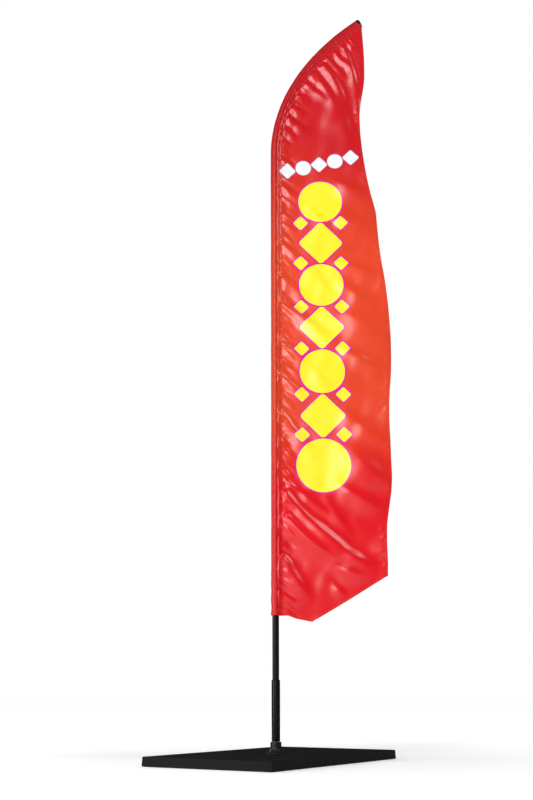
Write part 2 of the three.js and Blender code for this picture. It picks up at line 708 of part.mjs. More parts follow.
const innerSpacerWall = bearingBore + ringWall - FIT;
addPiece(group, 'lower_bearing_inner_ring', innerRing(lowerBearing), BRIGHT_STEEL);
addPiece(group, 'upper_bearing_inner_ring', innerRing(upperBearing), BRIGHT_STEEL);
addPiece(group, 'inner_spacer', spacer(innerSpacerWall, bearingBore), BLACK_PLASTIC);
addPiece(group, 'clamp_washer', clampWasher(), ZINC);
addPiece(group, 'clamp_nut', clampNut(), ZINC);

addPiece(group, 'rotor_tube', rotorTube(), BLACK_ALLOY);
addPiece(group, 'retaining_ring', retainingRing(), BRIGHT_STEEL);
addPiece(group, 'lower_bearing_outer_ring', outerRing(lowerBearing), BRIGHT_STEEL);
addPiece(group, 'upper_bearing_outer_ring', outerRing(upperBearing), BRIGHT_STEEL);
addPiece(group, 'lower_bearing_balls', ballCage(lowerBearing), BRIGHT_STEEL);
addPiece(group, 'upper_bearing_balls', ballCage(upperBearing), BRIGHT_STEEL);
addPiece(group, 'outer_spacer', spacer(bearingRadius, bearingRadius - ringWall + FIT), BLACK_PLASTIC);
addPiece(group, 'pole_stop_plug', poleStopPlug(), BLACK_PLASTIC);
addPiece(group, 'plug_pin', crossPin(PIN_RADIUS, rotorRadius - FIT), BRIGHT_STEEL);

addPiece(group, 'pole_foot_cap', poleFootCap(), BLACK_PLASTIC);
['lower', 'middle', 'upper'].forEach((name, i) => {
  addPiece(group, `pole_${name}`, poleSection(i), BLACK_ALLOY);
  addPiece(group, `${name}_joint_collar`, jointCollar(i), BLACK_ALLOY);
});
addPiece(group, 'pole_tip_rod', tipRod(), GLASS_FIBRE);
addPiece(group, 'tip_cap', tipCap(), BLACK_PLASTIC);

addPiece(group, 'pole_sleeve', poleSleeve(), ORANGE_CLOTH);
addPiece(group, 'flag_panel', flagPanel(), RED_CLOTH);
addPiece(group, 'trailing_hem', trailingHem(), RED_CLOTH);
addPiece(group, 'lower_hem', lowerHem(), RED_CLOTH);

export default group;
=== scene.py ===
"""Looks of a feather flag on a swivelling pole in a weighted base, built round its frame."""

import math

import bmesh
import bpy
import numpy as np
from bpy.props import FloatProperty, FloatVectorProperty, IntProperty, PointerProperty
from mathutils import Matrix, Vector


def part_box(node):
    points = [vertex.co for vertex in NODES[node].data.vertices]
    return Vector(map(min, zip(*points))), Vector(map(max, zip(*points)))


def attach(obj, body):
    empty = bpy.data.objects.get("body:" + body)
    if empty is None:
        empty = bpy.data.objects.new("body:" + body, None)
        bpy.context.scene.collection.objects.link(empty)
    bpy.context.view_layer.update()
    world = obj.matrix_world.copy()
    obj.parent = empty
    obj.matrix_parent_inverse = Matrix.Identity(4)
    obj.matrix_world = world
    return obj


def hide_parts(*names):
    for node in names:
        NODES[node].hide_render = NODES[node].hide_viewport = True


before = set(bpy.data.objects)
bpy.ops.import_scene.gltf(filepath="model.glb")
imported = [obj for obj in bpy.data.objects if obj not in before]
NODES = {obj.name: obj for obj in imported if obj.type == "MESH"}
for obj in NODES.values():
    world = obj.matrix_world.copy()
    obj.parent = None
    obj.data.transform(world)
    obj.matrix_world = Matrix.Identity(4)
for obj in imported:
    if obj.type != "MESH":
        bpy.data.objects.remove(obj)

bl_info = {
    "name": "Feather flag with pole",
    "version": (1, 0, 0),
    "blender": (4, 5, 0),
    "location": "3D View > Sidebar > Flag",
    "description": "Builds the cloth, pole and weighted base of a feather flag",
    "category": "Object",
}

MM = 0.001

# ---- Pole's centreline, in millimetres ----
BEND_START = 1835.0      # height where the pole starts to bend
BEND_LENGTH = 570.0
BEND_RADIUS_FOOT = 439.0
BEND_RADIUS_TIP = 960.0
TIP_CAP_LENGTH = 10.0
TIP_CAP_SOCKET = 6.0

# ---- Sleeve and panel, in millimetres ----
SLEEVE_FOOT = 398.0
SLEEVE_RADIUS = 12.4     # middle of the sleeve's cloth
MAP_WIDTH = 400.0        # width and height that the cloth's flat map covers
MAP_HEIGHT = 2400.0
SLEEVE_END = 559.7       # along the bend
SEAM = 6.0               # front seam, measured from the pole's centreline
BACK_SEAM = 20.0         # where the sleeve's back edge is sewn to the panel
LAP_END = 20.0           # where the panel has come back to the flag's plane
PANEL_TOP = 2296.0
RIPPLE = 7.0             # height of the soft waves at the free edge
RIPPLE_PITCH = 430.0
RIPPLE_SLANT = 0.6
PANEL_ROWS = 540
PANEL_COLUMNS = 72
COLUMN_CROWDING = 1.15   # above 1, columns crowd towards the seam
EDGE_SMOOTHING = 36      # length over which the free edge's outline is smoothed
HEM_FOLD = 8.0           # width of the folded hem
HEM_PROUD = 0.55         # how far each face of the hem stands off the cloth's middle
CREST_SHIFT = 0.9        # a fold's crest lies beyond its lit line by this many half widths
GENTLE_SIDE = 1.8        # breadth of a fold's lower left side, in half widths
STEEP_SIDE = 0.8         # breadth of its upper right side

# Free edge of the flag: (height, distance from the pole's straight part).
FREE_EDGE = (
    (509, 321.5), (520, 321.2), (543, 322.4), (612, 322.0), (659, 323.9), (705, 331.0),
    (752, 338.7), (800, 342.1), (824, 341.6), (872, 340.4), (920, 339.4), (969, 338.1),
    (1018, 339.5), (1067, 343.2), (1117, 348.3), (1167, 350.3), (1218, 350.2), (1269, 348.6),
    (1320, 345.5), (1372, 340.9), (1424, 334.9), (1477, 327.7), (1530, 322.6), (1584, 319.0),
    (1637, 316.0), (1692, 302.0), (1747, 290.7), (1802, 282.5), (1857, 276.5), (1913, 272.3),
    (1970, 271.3), (1998, 273.8), (2027, 277.9), (2056, 283.4), (2084, 288.2), (2113, 290.2),
    (2171, 290.5), (2245, 287.6), (2289, 285.0), (2300, 288.5),
)
# Lower edge: (distance from the pole, height).
LOWER_EDGE = (
    (6, 396.5), (35, 398.0), (58, 389.1), (80, 384.7), (103, 380.2), (126, 392.7),
    (172, 419.6), (218, 446.8), (264, 475.0), (310, 503.0), (322, 509.5),
)
# Folds of the cloth: start, bow and end as (distance from the pole, height), half width, height.
FOLDS = (
    (243, 2250, 249, 2227, 265, 2199, 7, 2.0),
    (214, 2225, 251, 2143, 255, 2013, 9, 5.0),
    (189, 2200, 216, 2154, 244, 2128, 9, 4.0),
    (164, 2177, 189, 2139, 234, 2078, 9, 4.0),
    (148, 2154, 198, 2085, 217, 1974, 13, 5.5),
    (115, 2122, 162, 2063, 196, 1953, 13, 5.5),
    (90, 2082, 130, 2049, 162, 2006, 10, 4.0),
    (62, 2042, 82, 2033, 101, 2021, 8, 3.0),
    (46, 1997, 73, 1983, 97, 1957, 9, 3.6),
    (36, 1961, 65, 1932, 97, 1900, 10, 4.0),
    (17, 1936, 39, 1897, 74, 1879, 8, 3.5),
    (170, 2060, 202, 1950, 188, 1811, 30, 6.5),
    (256, 2070, 264, 1991, 266, 1878, 8, 3.5),
    (4, 1735, 38, 1702, 92, 1648, 10, 4.4),
    (7, 1824, 26, 1806, 54, 1768, 8, 2.4),
    (5, 1349, 82, 1270, 205, 1165, 14, 7.5),
    (160, 1200, 245, 1142, 350, 1090, 17, 7.5),
    (150, 1290, 260, 1232, 380, 1150, 40, 11.0),
    (150, 1428, 232, 1342, 330, 1268, 22, 6.0),
    (5, 1109, 44, 1064, 94, 1014, 12, 5.5),
    (5, 1222, 46, 1174, 102, 1124, 12, 5.0),
    (140, 1592, 240, 1582, 350, 1552, 26, 6.5),
    (150, 1468, 235, 1432, 350, 1388, 20, 5.5),
    (5, 1429, 44, 1388, 96, 1336, 11, 4.8),
    (6, 1535, 46, 1493, 98, 1440, 11, 4.6),
    (77, 1458, 132, 1396, 168, 1327, 16, 2.8),
    (87, 1137, 134, 1080, 163, 1024, 15, 3.2),
    (160, 1740, 240, 1692, 320, 1628, 22, 6.0),
    (79, 1662, 135, 1604, 171, 1534, 15, 2.6),
    (4, 991, 52, 910, 122, 842, 14, 6.5),
    (160, 905, 232, 772, 350, 690, 46, 13.5),
    (150, 780, 234, 716, 335, 668, 18, 6.5),
    (8, 753, 78, 632, 212, 548, 22, 10.5),
    (150, 583, 222, 538, 300, 500, 22, 8.5),
    (12, 685, 66, 592, 196, 508, 20, 10.0),
    (140, 540, 200, 504, 262, 484, 15, 5.5),
    (70, 680, 150, 576, 262, 500, 26, 9.5),
    (130, 745, 172, 668, 222, 592, 13, 4.0),
    (3, 561, 38, 494, 84, 412, 20, 9.5),
    (-5, 462, 24, 436, 66, 417, 10, 3.6),
    (150, 496, 172, 467, 200, 436, 9, 3.0),
    (3, 618, 16, 595, 30, 575, 8, 2.8),
    (30, 775, 100, 714, 175, 645, 13, 4.4),
    (4, 909, 31, 854, 72, 806, 10, 3.2),
    (160, 1010, 245, 925, 350, 850, 22, 6.5),
    (4, 842, 25, 800, 49, 771, 9, 2.8),
)

# Printed shapes, in metres: (across, height, half length, half height, corner radius, turn).
# Turns are in degrees.
YELLOW_SHAPES = (
    (0.142, 1.672, 0.068, 0.068, 0.068, 0),
    (0.142, 1.534, 0.050, 0.050, 0.012, 45),
    (0.142, 1.396, 0.068, 0.068, 0.068, 0),
    (0.142, 1.258, 0.050, 0.050, 0.012, 45),
    (0.142, 1.120, 0.068, 0.068, 0.068, 0),
    (0.142, 0.982, 0.050, 0.050, 0.012, 45),
    (0.142, 0.832, 0.080, 0.080, 0.080, 0),
) + tuple((0.142 + side, height, 0.017, 0.017, 0.005, 45)
          for height in (1.600, 1.467, 1.324, 1.191, 1.048, 0.924) for side in (-0.062, 0.062))
WHITE_SHAPES = (
    (0.040, 1.777, 0.019, 0.019, 0.005, 45),
    (0.090, 1.788, 0.024, 0.024, 0.024, 0),
    (0.140, 1.800, 0.019, 0.019, 0.005, 45),
    (0.190, 1.811, 0.024, 0.024, 0.024, 0),
    (0.240, 1.823, 0.019, 0.019, 0.005, 45),
)


# ---- Sizes and colours that a user would change ----
def size(name, description, default, low, high, **kind):
    return FloatProperty(name=name, description=description, default=default,
                         min=low, max=high, **kind)


def colour(name, description, default):
    return FloatVectorProperty(name=name, description=description, default=default,
                               size=4, min=0.0, max=1.0, subtype="COLOR")


class FlagBaseSettings(bpy.types.PropertyGroup):
    edge_radius: size(
        "Edge radius", "Rounding of the base cover's edges", 0.0012, 0.0003, 0.003, unit="LENGTH")
    boss_ledge: size(
        "Boss ledge", "How far the boss's neck stands out past the rotor tube",
        0.0035, 0.001, 0.008, unit="LENGTH")
    boss_neck: size(
        "Boss neck", "Height of the boss's straight upper part", 0.012, 0.004, 0.02, unit="LENGTH")
    cover_colour: colour(
        "Cover colour", "Moulded plastic of the base cover", (0.0078, 0.0079, 0.0082, 1.0))


class FlagPoleSettings(bpy.types.PropertyGroup):
    edge_radius: size(
        "Edge radius", "Rounding of the tubes' rims", 0.0005, 0.0001, 0.001, unit="LENGTH")
    sides: IntProperty(
        name="Sides", description="Facets round each turned piece", default=72, min=24, max=128)
    colour: colour("Colour", "Black finish of the tubes", (0.003, 0.003, 0.0032, 1.0))


class FlagClothSettings(bpy.types.PropertyGroup):
    thickness: size(
        "Cloth thickness", "Thickness of one layer of cloth",
        0.0006, 0.0002, 0.0015, unit="LENGTH")
    fold_height: size(
        "Fold height", "Height of the long folds, as a share of the drawn ones",
        1.3, 0.0, 1.6, subtype="FACTOR")
    pucker_height: size(
        "Pucker height", "Height of the small gathers along the seams",
        1.2, 0.0, 2.0, subtype="FACTOR")
    stitch_pitch: size(
        "Stitch pitch", "Distance from one stitch to the next", 0.0046, 0.003, 0.01, unit="LENGTH")
    stitch_length: size(
        "Stitch length", "Length of one stitch", 0.0034, 0.001, 0.006, unit="LENGTH")
    thread_width: size(
        "Thread width", "Thickness of the sewing thread", 0.0006, 0.0002, 0.0012, unit="LENGTH")
    thread_colour: colour("Thread colour", "Sewing thread", (0.42, 0.012, 0.012, 1.0))


class FlagPrintSettings(bpy.types.PropertyGroup):
    foot_red: colour(
        "Foot red", "Ground colour at the flag's lower end", (0.74, 0.0015, 0.008, 1.0))
    middle_orange: colour(
        "Middle orange", "Ground colour at the middle of the flag", (0.76, 0.055, 0.014, 1.0))
    top_red: colour("Top red", "Ground colour at the flag's tip", (0.58, 0.004, 0.010, 1.0))
    shape_yellow: colour("Yellow", "Large printed shapes", (0.93, 0.80, 0.02, 1.0))
    outline_magenta: colour(
        "Magenta", "Outline of the large printed shapes", (0.74, 0.004, 0.29, 1.0))
    shape_white: colour("White", "Small printed shapes", (0.86, 0.86, 0.87, 1.0))
    outline_width: size(
        "Outline width", "Width of the magenta outline", 0.0052, 0.0, 0.01, unit="LENGTH")


class FlagStudioSettings(bpy.types.PropertyGroup):
    camera_distance: size(
        "Camera distance", "From the pole to the camera, along the floor",
        3.2081, 1.0, 12.0, unit="LENGTH")
    camera_height: size(
        "Camera height", "Height of the camera above the floor", 0.1854, 0.02, 3.0, unit="LENGTH")
    camera_tilt: size(
        "Camera tilt", "How far the camera looks up", 0.2577, -0.5, 0.8, unit="ROTATION")
    camera_turn: size(
        "Camera turn", "How far the camera looks to the right of the pole",
        -0.0081, -0.5, 0.5, unit="ROTATION")
    lens: size("Lens", "Focal length in millimetres on a 36 mm sensor", 49.994, 20.0, 120.0)
    key_power: size(
        "Key light", "Power of the large soft light at the front left, in watts", 82.0, 0.0, 600.0)
    side_power: size(
        "Side light", "Power of the high soft light on the right, in watts", 30.0, 0.0, 600.0)
    room_light: size(
        "Room light", "Strength of the even light from all round",
        0.36, 0.0, 2.0, subtype="FACTOR")
    floor_colour: colour("Floor colour", "Pale studio floor", (0.93, 0.93, 0.935, 1.0))


# ---- Mesh helpers ----
def mesh_piece(name, points, faces, uvs=None, sharp_angle=35.0):
    """A new mesh object from points and faces, smooth but for edges over the sharp angle."""
    mesh = bpy.data.meshes.new(name)
    mesh.from_pydata([tuple(p) for p in points], [], [tuple(f) for f in faces])
    if uvs is not None:
        layer = mesh.uv_layers.new(name="Cloth")
        corners = np.empty(len(mesh.loops), np.int32)
        mesh.loops.foreach_get("vertex_index", corners)
        layer.data.foreach_set("uv", np.asarray(uvs, np.float32)[corners].ravel())
    mesh.validate()
    piece = bpy.data.objects.new(name, mesh)
    bpy.context.scene.collection.objects.link(piece)
    smooth(piece, sharp_angle)
    return piece


def smooth(piece, sharp_angle=35.0):
    piece.data.shade_smooth()
    piece.data.set_sharp_from_angle(angle=math.radians(sharp_angle))


def face_outwards(piece, merge=True):
    """Merges doubles, then turns every face of a closed shell outwards."""
    shell = bmesh.new()
    shell.from_mesh(piece.data)
    if merge:
        bmesh.ops.remove_doubles(shell, verts=shell.verts, dist=1e-7)
    bmesh.ops.recalc_face_normals(shell, faces=shell.faces)
    shell.to_mesh(piece.data)
    shell.free()


def baked(piece):
    """Replaces a piece's mesh by what its modifiers make of it."""
    result = bpy.data.meshes.new_from_object(
        piece.evaluated_get(bpy.context.evaluated_depsgraph_get()))
    piece.modifiers.clear()
    piece.data = result
    result.name = piece.name
    return piece


def skin(loops, around=True, along=False):
    """Faces that join equal loops of points, laid one after the other."""
    count, size = len(loops), len(loops[0])
    faces = []
    for j in range(count if along else count - 1):
        k = (j + 1) % count
        for i in range(size if around else size - 1):
            n = (i + 1) % size
            faces.append((j * size + i, j * size + n, k * size + n, k * size + i))
    return faces


def softened(profile, radius, steps=3):
    """A profile whose corners off the axis are rounded by a short curve."""
    points = []
    for i, corner in enumerate(profile):
        here = Vector(corner)
        before, after = Vector(profile[i - 1]), Vector(profile[(i + 1) % len(profile)])
        if here.x < 1e-9:
            points.append(here)
            continue
        near = here + (before - here).normalized() * min(radius, 0.4 * (before - here).length)
        far = here + (after - here).normalized() * min(radius, 0.4 * (after - here).length)
        for k in range(steps + 1):
            t = k / steps
            points.append(near * (1 - t) ** 2 + here * (2 * t * (1 - t)) + far * t * t)
    return points


def turned(name, profile, sides=72, axis=(0.0, 0.0)):
    """A closed profile of (radius, height) turned round an upright axis."""
    points, rings = [], []
    for radius, height in profile:
        if radius < 1e-9:
            rings.append([len(points)])
            points.append((axis[0], axis[1], height))
            continue
        rings.append(list(range(len(points), len(points) + sides)))
        for i in range(sides):
            turn = 2 * math.pi * i / sides
            points.append((axis[0] + radius * math.cos(turn),
                           axis[1] + radius * math.sin(turn), height))
    faces = []
    for j, ring in enumerate(rings):
        following = rings[(j + 1) % len(rings)]
        if len(ring) == 1 and len(following) == 1:
            continue
        for i in range(sides):
            n = (i + 1) % sides
            corners = [ring[i % len(ring)], ring[n % len(ring)],
                       following[n % len(following)], following[i % len(following)]]
            faces.append(tuple(dict.fromkeys(corners)))
    piece = mesh_piece(name, points, faces)
    face_outwards(piece)
    smooth(piece)
    return piece


def cut_by(piece, tool):
    """Cuts a tool's solid out of a piece."""
    modifier = piece.modifiers.new("Cut", "BOOLEAN")
    modifier.operation = "DIFFERENCE"
    modifier.solver = "EXACT"
    modifier.object = tool
    baked(piece)
    bpy.data.objects.remove(tool)
    smooth(piece)
    return piece


def laid(piece, height, turn, axis):
    """Turns a piece about an axis, then lifts it to a height."""
    piece.data.transform(Matrix.Translation((0, 0, height)) @ Matrix.Rotation(turn, 4, axis))


def finish_piece(piece, body, material, slot, *nodes):
    """Gives a piece its material, and has it stand for CAD nodes on a body."""
    piece.data.materials.clear()
    piece.data.materials.append(bpy.data.materials[material])
    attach(piece, body)
    if nodes:
        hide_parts(*nodes)
    return piece


def reach(node):
    """Outer radius, foot and top of a round CAD node on the pole's axis."""
    low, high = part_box(node)
    return (high.y - low.y) / 2, low.z, high.z


# ---- Shader helpers ----
def feed(tree, socket, value):
    """Gives a socket a value, or links another node's socket to it."""
    if isinstance(value, bpy.types.NodeSocket):
        tree.links.new(value, socket)
    else:
        socket.default_value = value


def add(tree, kind, inputs=None, **settings):
    """A new node with its settings; an input takes a value or another node's socket."""
    made = tree.nodes.new(kind)
    for key, value in settings.items():
        setattr(made, key, value)
    for key, value in (inputs or {}).items():
        feed(tree, made.inputs[key], value)
    return made


def calc(tree, operation, first, second=0.0, third=0.0, clamp=False):
    return add(tree, "ShaderNodeMath", {0: first, 1: second, 2: third},
               operation=operation, use_clamp=clamp).outputs[0]


def blend_colours(tree, share, first, second):
    mixed = add(tree, "ShaderNodeMix", {"Factor": share}, data_type="RGBA")
    for key, value in (("A_Color", first), ("B_Color", second)):
        feed(tree, next(s for s in mixed.inputs if s.identifier == key), value)
    return next(s for s in mixed.outputs if s.identifier == "Result_Color")


def new_group(name, inputs, outputs, kind="ShaderNodeTree"):
    """An empty node group with its sockets; returns it with its two end nodes."""
    tree = bpy.data.node_groups.new(name, kind)
    for label, socket_type, value in inputs:
        socket = tree.interface.new_socket(
            label, in_out="INPUT", socket_type="NodeSocket" + socket_type)
        if value is not None:
            socket.default_value = value
    for label, socket_type in outputs:
        tree.interface.new_socket(label, in_out="OUTPUT", socket_type="NodeSocket" + socket_type)
    return tree, tree.nodes.new("NodeGroupInput"), tree.nodes.new("NodeGroupOutput")


def placed_group(tree, name, inputs):
    return add(tree, "ShaderNodeGroup", inputs, node_tree=bpy.data.node_groups[name]).outputs


def make_surface_grain():
    """Fine grain, slow clouding and rubbed patches of a hard surface."""
    tree, start, end = new_group(
        "Surface Grain",
        [("Place", "Vector", None), ("Grain Size", "Float", 0.002),
         ("Rub", "Float", 0.3)],
        [("Height", "Float"), ("Cloud", "Float"), ("Rubbed", "Float")])
    place = start.outputs["Place"]
    grain = add(tree, "ShaderNodeTexNoise", {
        "Vector": place, "Scale": calc(tree, "DIVIDE", 1.0, start.outputs["Grain Size"]),
        "Detail": 3.0, "Roughness": 0.6})
    cloud = add(tree, "ShaderNodeTexNoise", {"Vector": place, "Scale": 14.0, "Detail": 4.0})
    scuff = add(tree, "ShaderNodeTexNoise", {
        "Vector": place, "Scale": 55.0, "Detail": 6.0, "Roughness": 0.72, "Distortion": 0.6})
    rubbed = add(tree, "ShaderNodeMapRange", {
        "Value": scuff.outputs["Fac"], "From Min": 0.60, "From Max": 0.80})
    tree.links.new(grain.outputs["Fac"], end.inputs["Height"])
    tree.links.new(cloud.outputs["Fac"], end.inputs["Cloud"])
    tree.links.new(calc(tree, "MULTIPLY", rubbed.outputs[0], start.outputs["Rub"]),
                   end.inputs["Rubbed"])


def make_weave():
    """Crossing threads of a plain weave, as height and as painted light and shade: lighter where
    threads rise, darker in the dips.
    """
    tree, start, end = new_group(
        "Weave",
        [("Place", "Vector", None), ("Thread Pitch", "Float", 0.0006)],
        [("Height", "Float"), ("Shade", "Float")])
    parts = add(tree, "ShaderNodeSeparateXYZ", {0: start.outputs["Place"]})
    turn = calc(tree, "DIVIDE", 2 * math.pi, start.outputs["Thread Pitch"])
    warp = calc(tree, "SINE", calc(tree, "MULTIPLY", parts.outputs[0], turn))
    weft = calc(tree, "SINE", calc(tree, "MULTIPLY", parts.outputs[1], turn))
    over = calc(tree, "MULTIPLY", warp, weft)
    slub = add(tree, "ShaderNodeTexNoise", {
        "Vector": start.outputs["Place"], "Scale": 260.0, "Detail": 2.0})
    height = calc(tree, "MULTIPLY_ADD", over, 0.5, slub.outputs["Fac"])
    tree.links.new(height, end.inputs["Height"])
    # Painted light and shade: the colour follows the height, lighter on raised threads and darker
    # in the dips between them.
    shade = add(tree, "ShaderNodeMapRange", {
        "Value": height, "From Min": -0.1, "From Max": 1.1, "To Min": 0.9, "To Max": 1.06})
    tree.links.new(shade.outputs[0], end.inputs["Shade"])


def make_dust():
    """Dust that settles on faces which look up."""
    tree, start, end = new_group(
        "Settled Dust",
        [("Place", "Vector", None), ("Amount", "Float", 0.2)],
        [("Mask", "Float")])
    normal = add(tree, "ShaderNodeNewGeometry")
    up = add(tree, "ShaderNodeSeparateXYZ", {0: normal.outputs["Normal"]})
    speck = add(tree, "ShaderNodeTexNoise", {
        "Vector": start.outputs["Place"], "Scale": 30.0, "Detail": 8.0, "Roughness": 0.7})
    patches = add(tree, "ShaderNodeMapRange", {
        "Value": speck.outputs["Fac"], "From Min": 0.35, "From Max": 0.75})
    facing = calc(tree, "MAXIMUM", up.outputs[2], 0.0)
    mask = calc(tree, "MULTIPLY", calc(tree, "MULTIPLY", facing, patches.outputs[0]),
                start.outputs["Amount"], clamp=True)
    tree.links.new(mask, end.inputs["Mask"])


def make_printed_shape():
    """Distance to the edge of a turned bar with round corners, negative inside."""
    tree, start, end = new_group(
        "Printed Shape",
        [("Place", "Vector", None), ("Centre", "Vector", None),
         ("Half Size", "Vector", None), ("Corner", "Float", 0.01),
         ("Turn", "Float", 0.0)],
        [("Distance", "Float")])
    moved = add(tree, "ShaderNodeVectorMath", {
        0: start.outputs["Place"], 1: start.outputs["Centre"]}, operation="SUBTRACT")
    turned_place = add(tree, "ShaderNodeVectorRotate", {
        "Vector": moved.outputs[0], "Angle": start.outputs["Turn"]}, rotation_type="Z_AXIS")
    folded = add(tree, "ShaderNodeVectorMath", {0: turned_place.outputs[0]}, operation="ABSOLUTE")
    outside = add(tree, "ShaderNodeVectorMath", {
        0: folded.outputs[0], 1: start.outputs["Half Size"]}, operation="SUBTRACT")
    parts = add(tree, "ShaderNodeSeparateXYZ", {0: outside.outputs[0]})
    across = calc(tree, "ADD", parts.outputs[0], start.outputs["Corner"])
    upward = calc(tree, "ADD", parts.outputs[1], start.outputs["Corner"])
    corner = add(tree, "ShaderNodeCombineXYZ", {
        0: calc(tree, "MAXIMUM", across, 0.0), 1: calc(tree, "MAXIMUM", upward, 0.0)})
    length = add(tree, "ShaderNodeVectorMath", {0: corner.outputs[0]}, operation="LENGTH")
    inner = calc(tree, "MINIMUM", calc(tree, "MAXIMUM", across, upward), 0.0)
    distance = calc(tree, "SUBTRACT", calc(tree, "ADD", length.outputs["Value"], inner),
                    start.outputs["Corner"])
    tree.links.new(distance, end.inputs["Distance"])


def new_material(name, **constants):
    """A material with a Principled shader, whose plain sockets take the constants."""
    material = bpy.data.materials.new(name)
    material.use_nodes = True
    tree = material.node_tree
    tree.nodes.clear()
    shader = add(tree, "ShaderNodeBsdfPrincipled", constants)
    output = add(tree, "ShaderNodeOutputMaterial")
    tree.links.new(shader.outputs[0], output.inputs["Surface"])
    return material, tree, shader


def hard_material(name, colour, worn, roughness, metallic=0.0, grain_size=0.002, depth=0.00008,
                  rub=0.25, dust=0.15, stretch=(1.0, 1.0, 1.0), pores=0.0, ribs=0.0, **constants):
    """Plastic, metal, rubber or stone: clouded colour, rubbed patches, dust and a fine grain."""
    material, tree, shader = new_material(name, Metallic=metallic, **constants)
    place = add(tree, "ShaderNodeTexCoord").outputs["Object"]
    stretched = add(tree, "ShaderNodeMapping", {"Vector": place, "Scale": stretch}).outputs[0]
    height, cloud, rubbed = placed_group(
        tree, "Surface Grain", {"Place": stretched, "Grain Size": grain_size, "Rub": rub})
    settled = placed_group(tree, "Settled Dust", {"Place": place, "Amount": dust})[0]
    pale = tuple(min(1.0, c * 1.35) for c in colour[:3]) + (1.0,)
    dark = tuple(c * 0.72 for c in colour[:3]) + (1.0,)
    ground = blend_colours(tree, cloud, dark, pale)
    if pores:
        # Pits: the colour goes dark towards each pit's centre as painted shade in the hollows, and
        # the same pits dip the bump.
        cells = add(tree, "ShaderNodeTexVoronoi", {"Vector": place, "Scale": pores})
        pit = add(tree, "ShaderNodeMapRange", {
            "Value": cells.outputs["Distance"], "From Min": 0.05, "From Max": 0.35,
            "To Min": 0.45, "To Max": 1.0})
        ground = blend_colours(tree, pit.outputs[0], (0.05, 0.05, 0.05, 1.0), ground)
        height = calc(tree, "ADD", height, pit.outputs[0])
    if ribs:
        woven = placed_group(tree, "Weave", {"Place": place, "Thread Pitch": ribs})
        height = calc(tree, "MULTIPLY_ADD", woven[0], 1.5, height)
    ground = blend_colours(tree, rubbed, ground, worn)
    ground = blend_colours(tree, settled, ground, (0.16, 0.155, 0.15, 1.0))
    tree.links.new(ground, shader.inputs["Base Color"])
    rough = calc(tree, "MULTIPLY_ADD", cloud, 0.16, roughness - 0.08)
    rough = calc(tree, "MULTIPLY_ADD", settled, 0.25, rough, clamp=True)
    tree.links.new(rough, shader.inputs["Roughness"])
    bump = add(tree, "ShaderNodeBump", {"Height": height, "Distance": depth, "Strength": 1.0})
    tree.links.new(bump.outputs[0], shader.inputs["Normal"])
    return material


def shape_distance(tree, place, shapes):
    """Distance to the nearest of several printed shapes."""
    nearest = None
    for across, height, half, rise, corner, turn in shapes:
        distance = placed_group(tree, "Printed Shape", {
            "Place": place, "Centre": (across, height, 0.0), "Half Size": (half, rise, 1.0),
            "Corner": corner, "Turn": -math.radians(turn)})[0]
        nearest = distance if nearest is None else calc(tree, "MINIMUM", nearest, distance)
    return nearest


def inside(tree, distance, margin=0.0):
    """1 inside a shape grown by a margin, 0 outside, with an edge half a millimetre soft."""
    return add(tree, "ShaderNodeMapRange", {
        "Value": distance, "From Min": margin + 0.00025, "From Max": margin - 0.00025}).outputs[0]


def cloth_material(name, with_print, roughness, shine, shade, settings):
    """Satin polyester with a printed ground that runs from red through orange to red."""
    material, tree, shader = new_material(
        name, Metallic=0.0, **{"Sheen Weight": 0.02, "Sheen Roughness": 0.3,
                               "Specular IOR Level": shine})
    plan = add(tree, "ShaderNodeUVMap", uv_map="Cloth").outputs[0]
    place = add(tree, "ShaderNodeMapping", {
        "Vector": plan, "Scale": (MAP_WIDTH / 1000, MAP_HEIGHT / 1000, 1.0)}).outputs[0]
    parts = add(tree, "ShaderNodeSeparateXYZ", {0: place})
    drift = add(tree, "ShaderNodeTexNoise", {"Vector": place, "Scale": 3.0, "Detail": 2.0})
    level = calc(tree, "MULTIPLY_ADD", calc(tree, "SUBTRACT", drift.outputs["Fac"], 0.5), 0.3,
                 parts.outputs[1])
    share = calc(tree, "DIVIDE", level, MAP_HEIGHT / 1000)
    ramp = add(tree, "ShaderNodeValToRGB", {"Fac": share})
    stops = ((0.20, settings.foot_red), (0.30, settings.foot_red), (0.43, settings.middle_orange),
             (0.60, settings.middle_orange), (0.80, settings.top_red), (0.98, settings.top_red))
    while len(ramp.color_ramp.elements) < len(stops):
        ramp.color_ramp.elements.new(0.5)
    for element, (position, colour) in zip(ramp.color_ramp.elements, stops):
        element.position = position
        element.color = colour
    ramp.color_ramp.interpolation = "EASE"
    ground = ramp.outputs[0]
    if with_print:
        yellow = shape_distance(tree, place, YELLOW_SHAPES)
        white = shape_distance(tree, place, WHITE_SHAPES)
        ground = blend_colours(tree, inside(tree, yellow, settings.outline_width), ground,
                               settings.outline_magenta)
        ground = blend_colours(tree, inside(tree, yellow), ground, settings.shape_yellow)
        ground = blend_colours(tree, inside(tree, white, 0.0014), ground,
                               (0.30, 0.22, 0.55, 1.0))
        ground = blend_colours(tree, inside(tree, white), ground, settings.shape_white)
    # The weave's Shade output is painted light and shade on the threads, multiplied into the
    # ground colour.
    woven = placed_group(tree, "Weave", {"Place": place, "Thread Pitch": 0.0009})
    # The shade argument darkens the whole ground colour; for the sleeve this is painted shade.
    shaded = add(tree, "ShaderNodeVectorMath", {
        0: ground, 1: calc(tree, "MULTIPLY", woven[1], shade)}, operation="MULTIPLY")
    tree.links.new(shaded.outputs[0], shader.inputs["Base Color"])
    rough = calc(tree, "MULTIPLY_ADD", drift.outputs["Fac"], 0.06, roughness)
    tree.links.new(rough, shader.inputs["Roughness"])
    bump = add(tree, "ShaderNodeBump", {"Height": woven[0], "Distance": 0.000016, "Strength": 0.6})
    tree.links.new(bump.outputs[0], shader.inputs["Normal"])
    return material


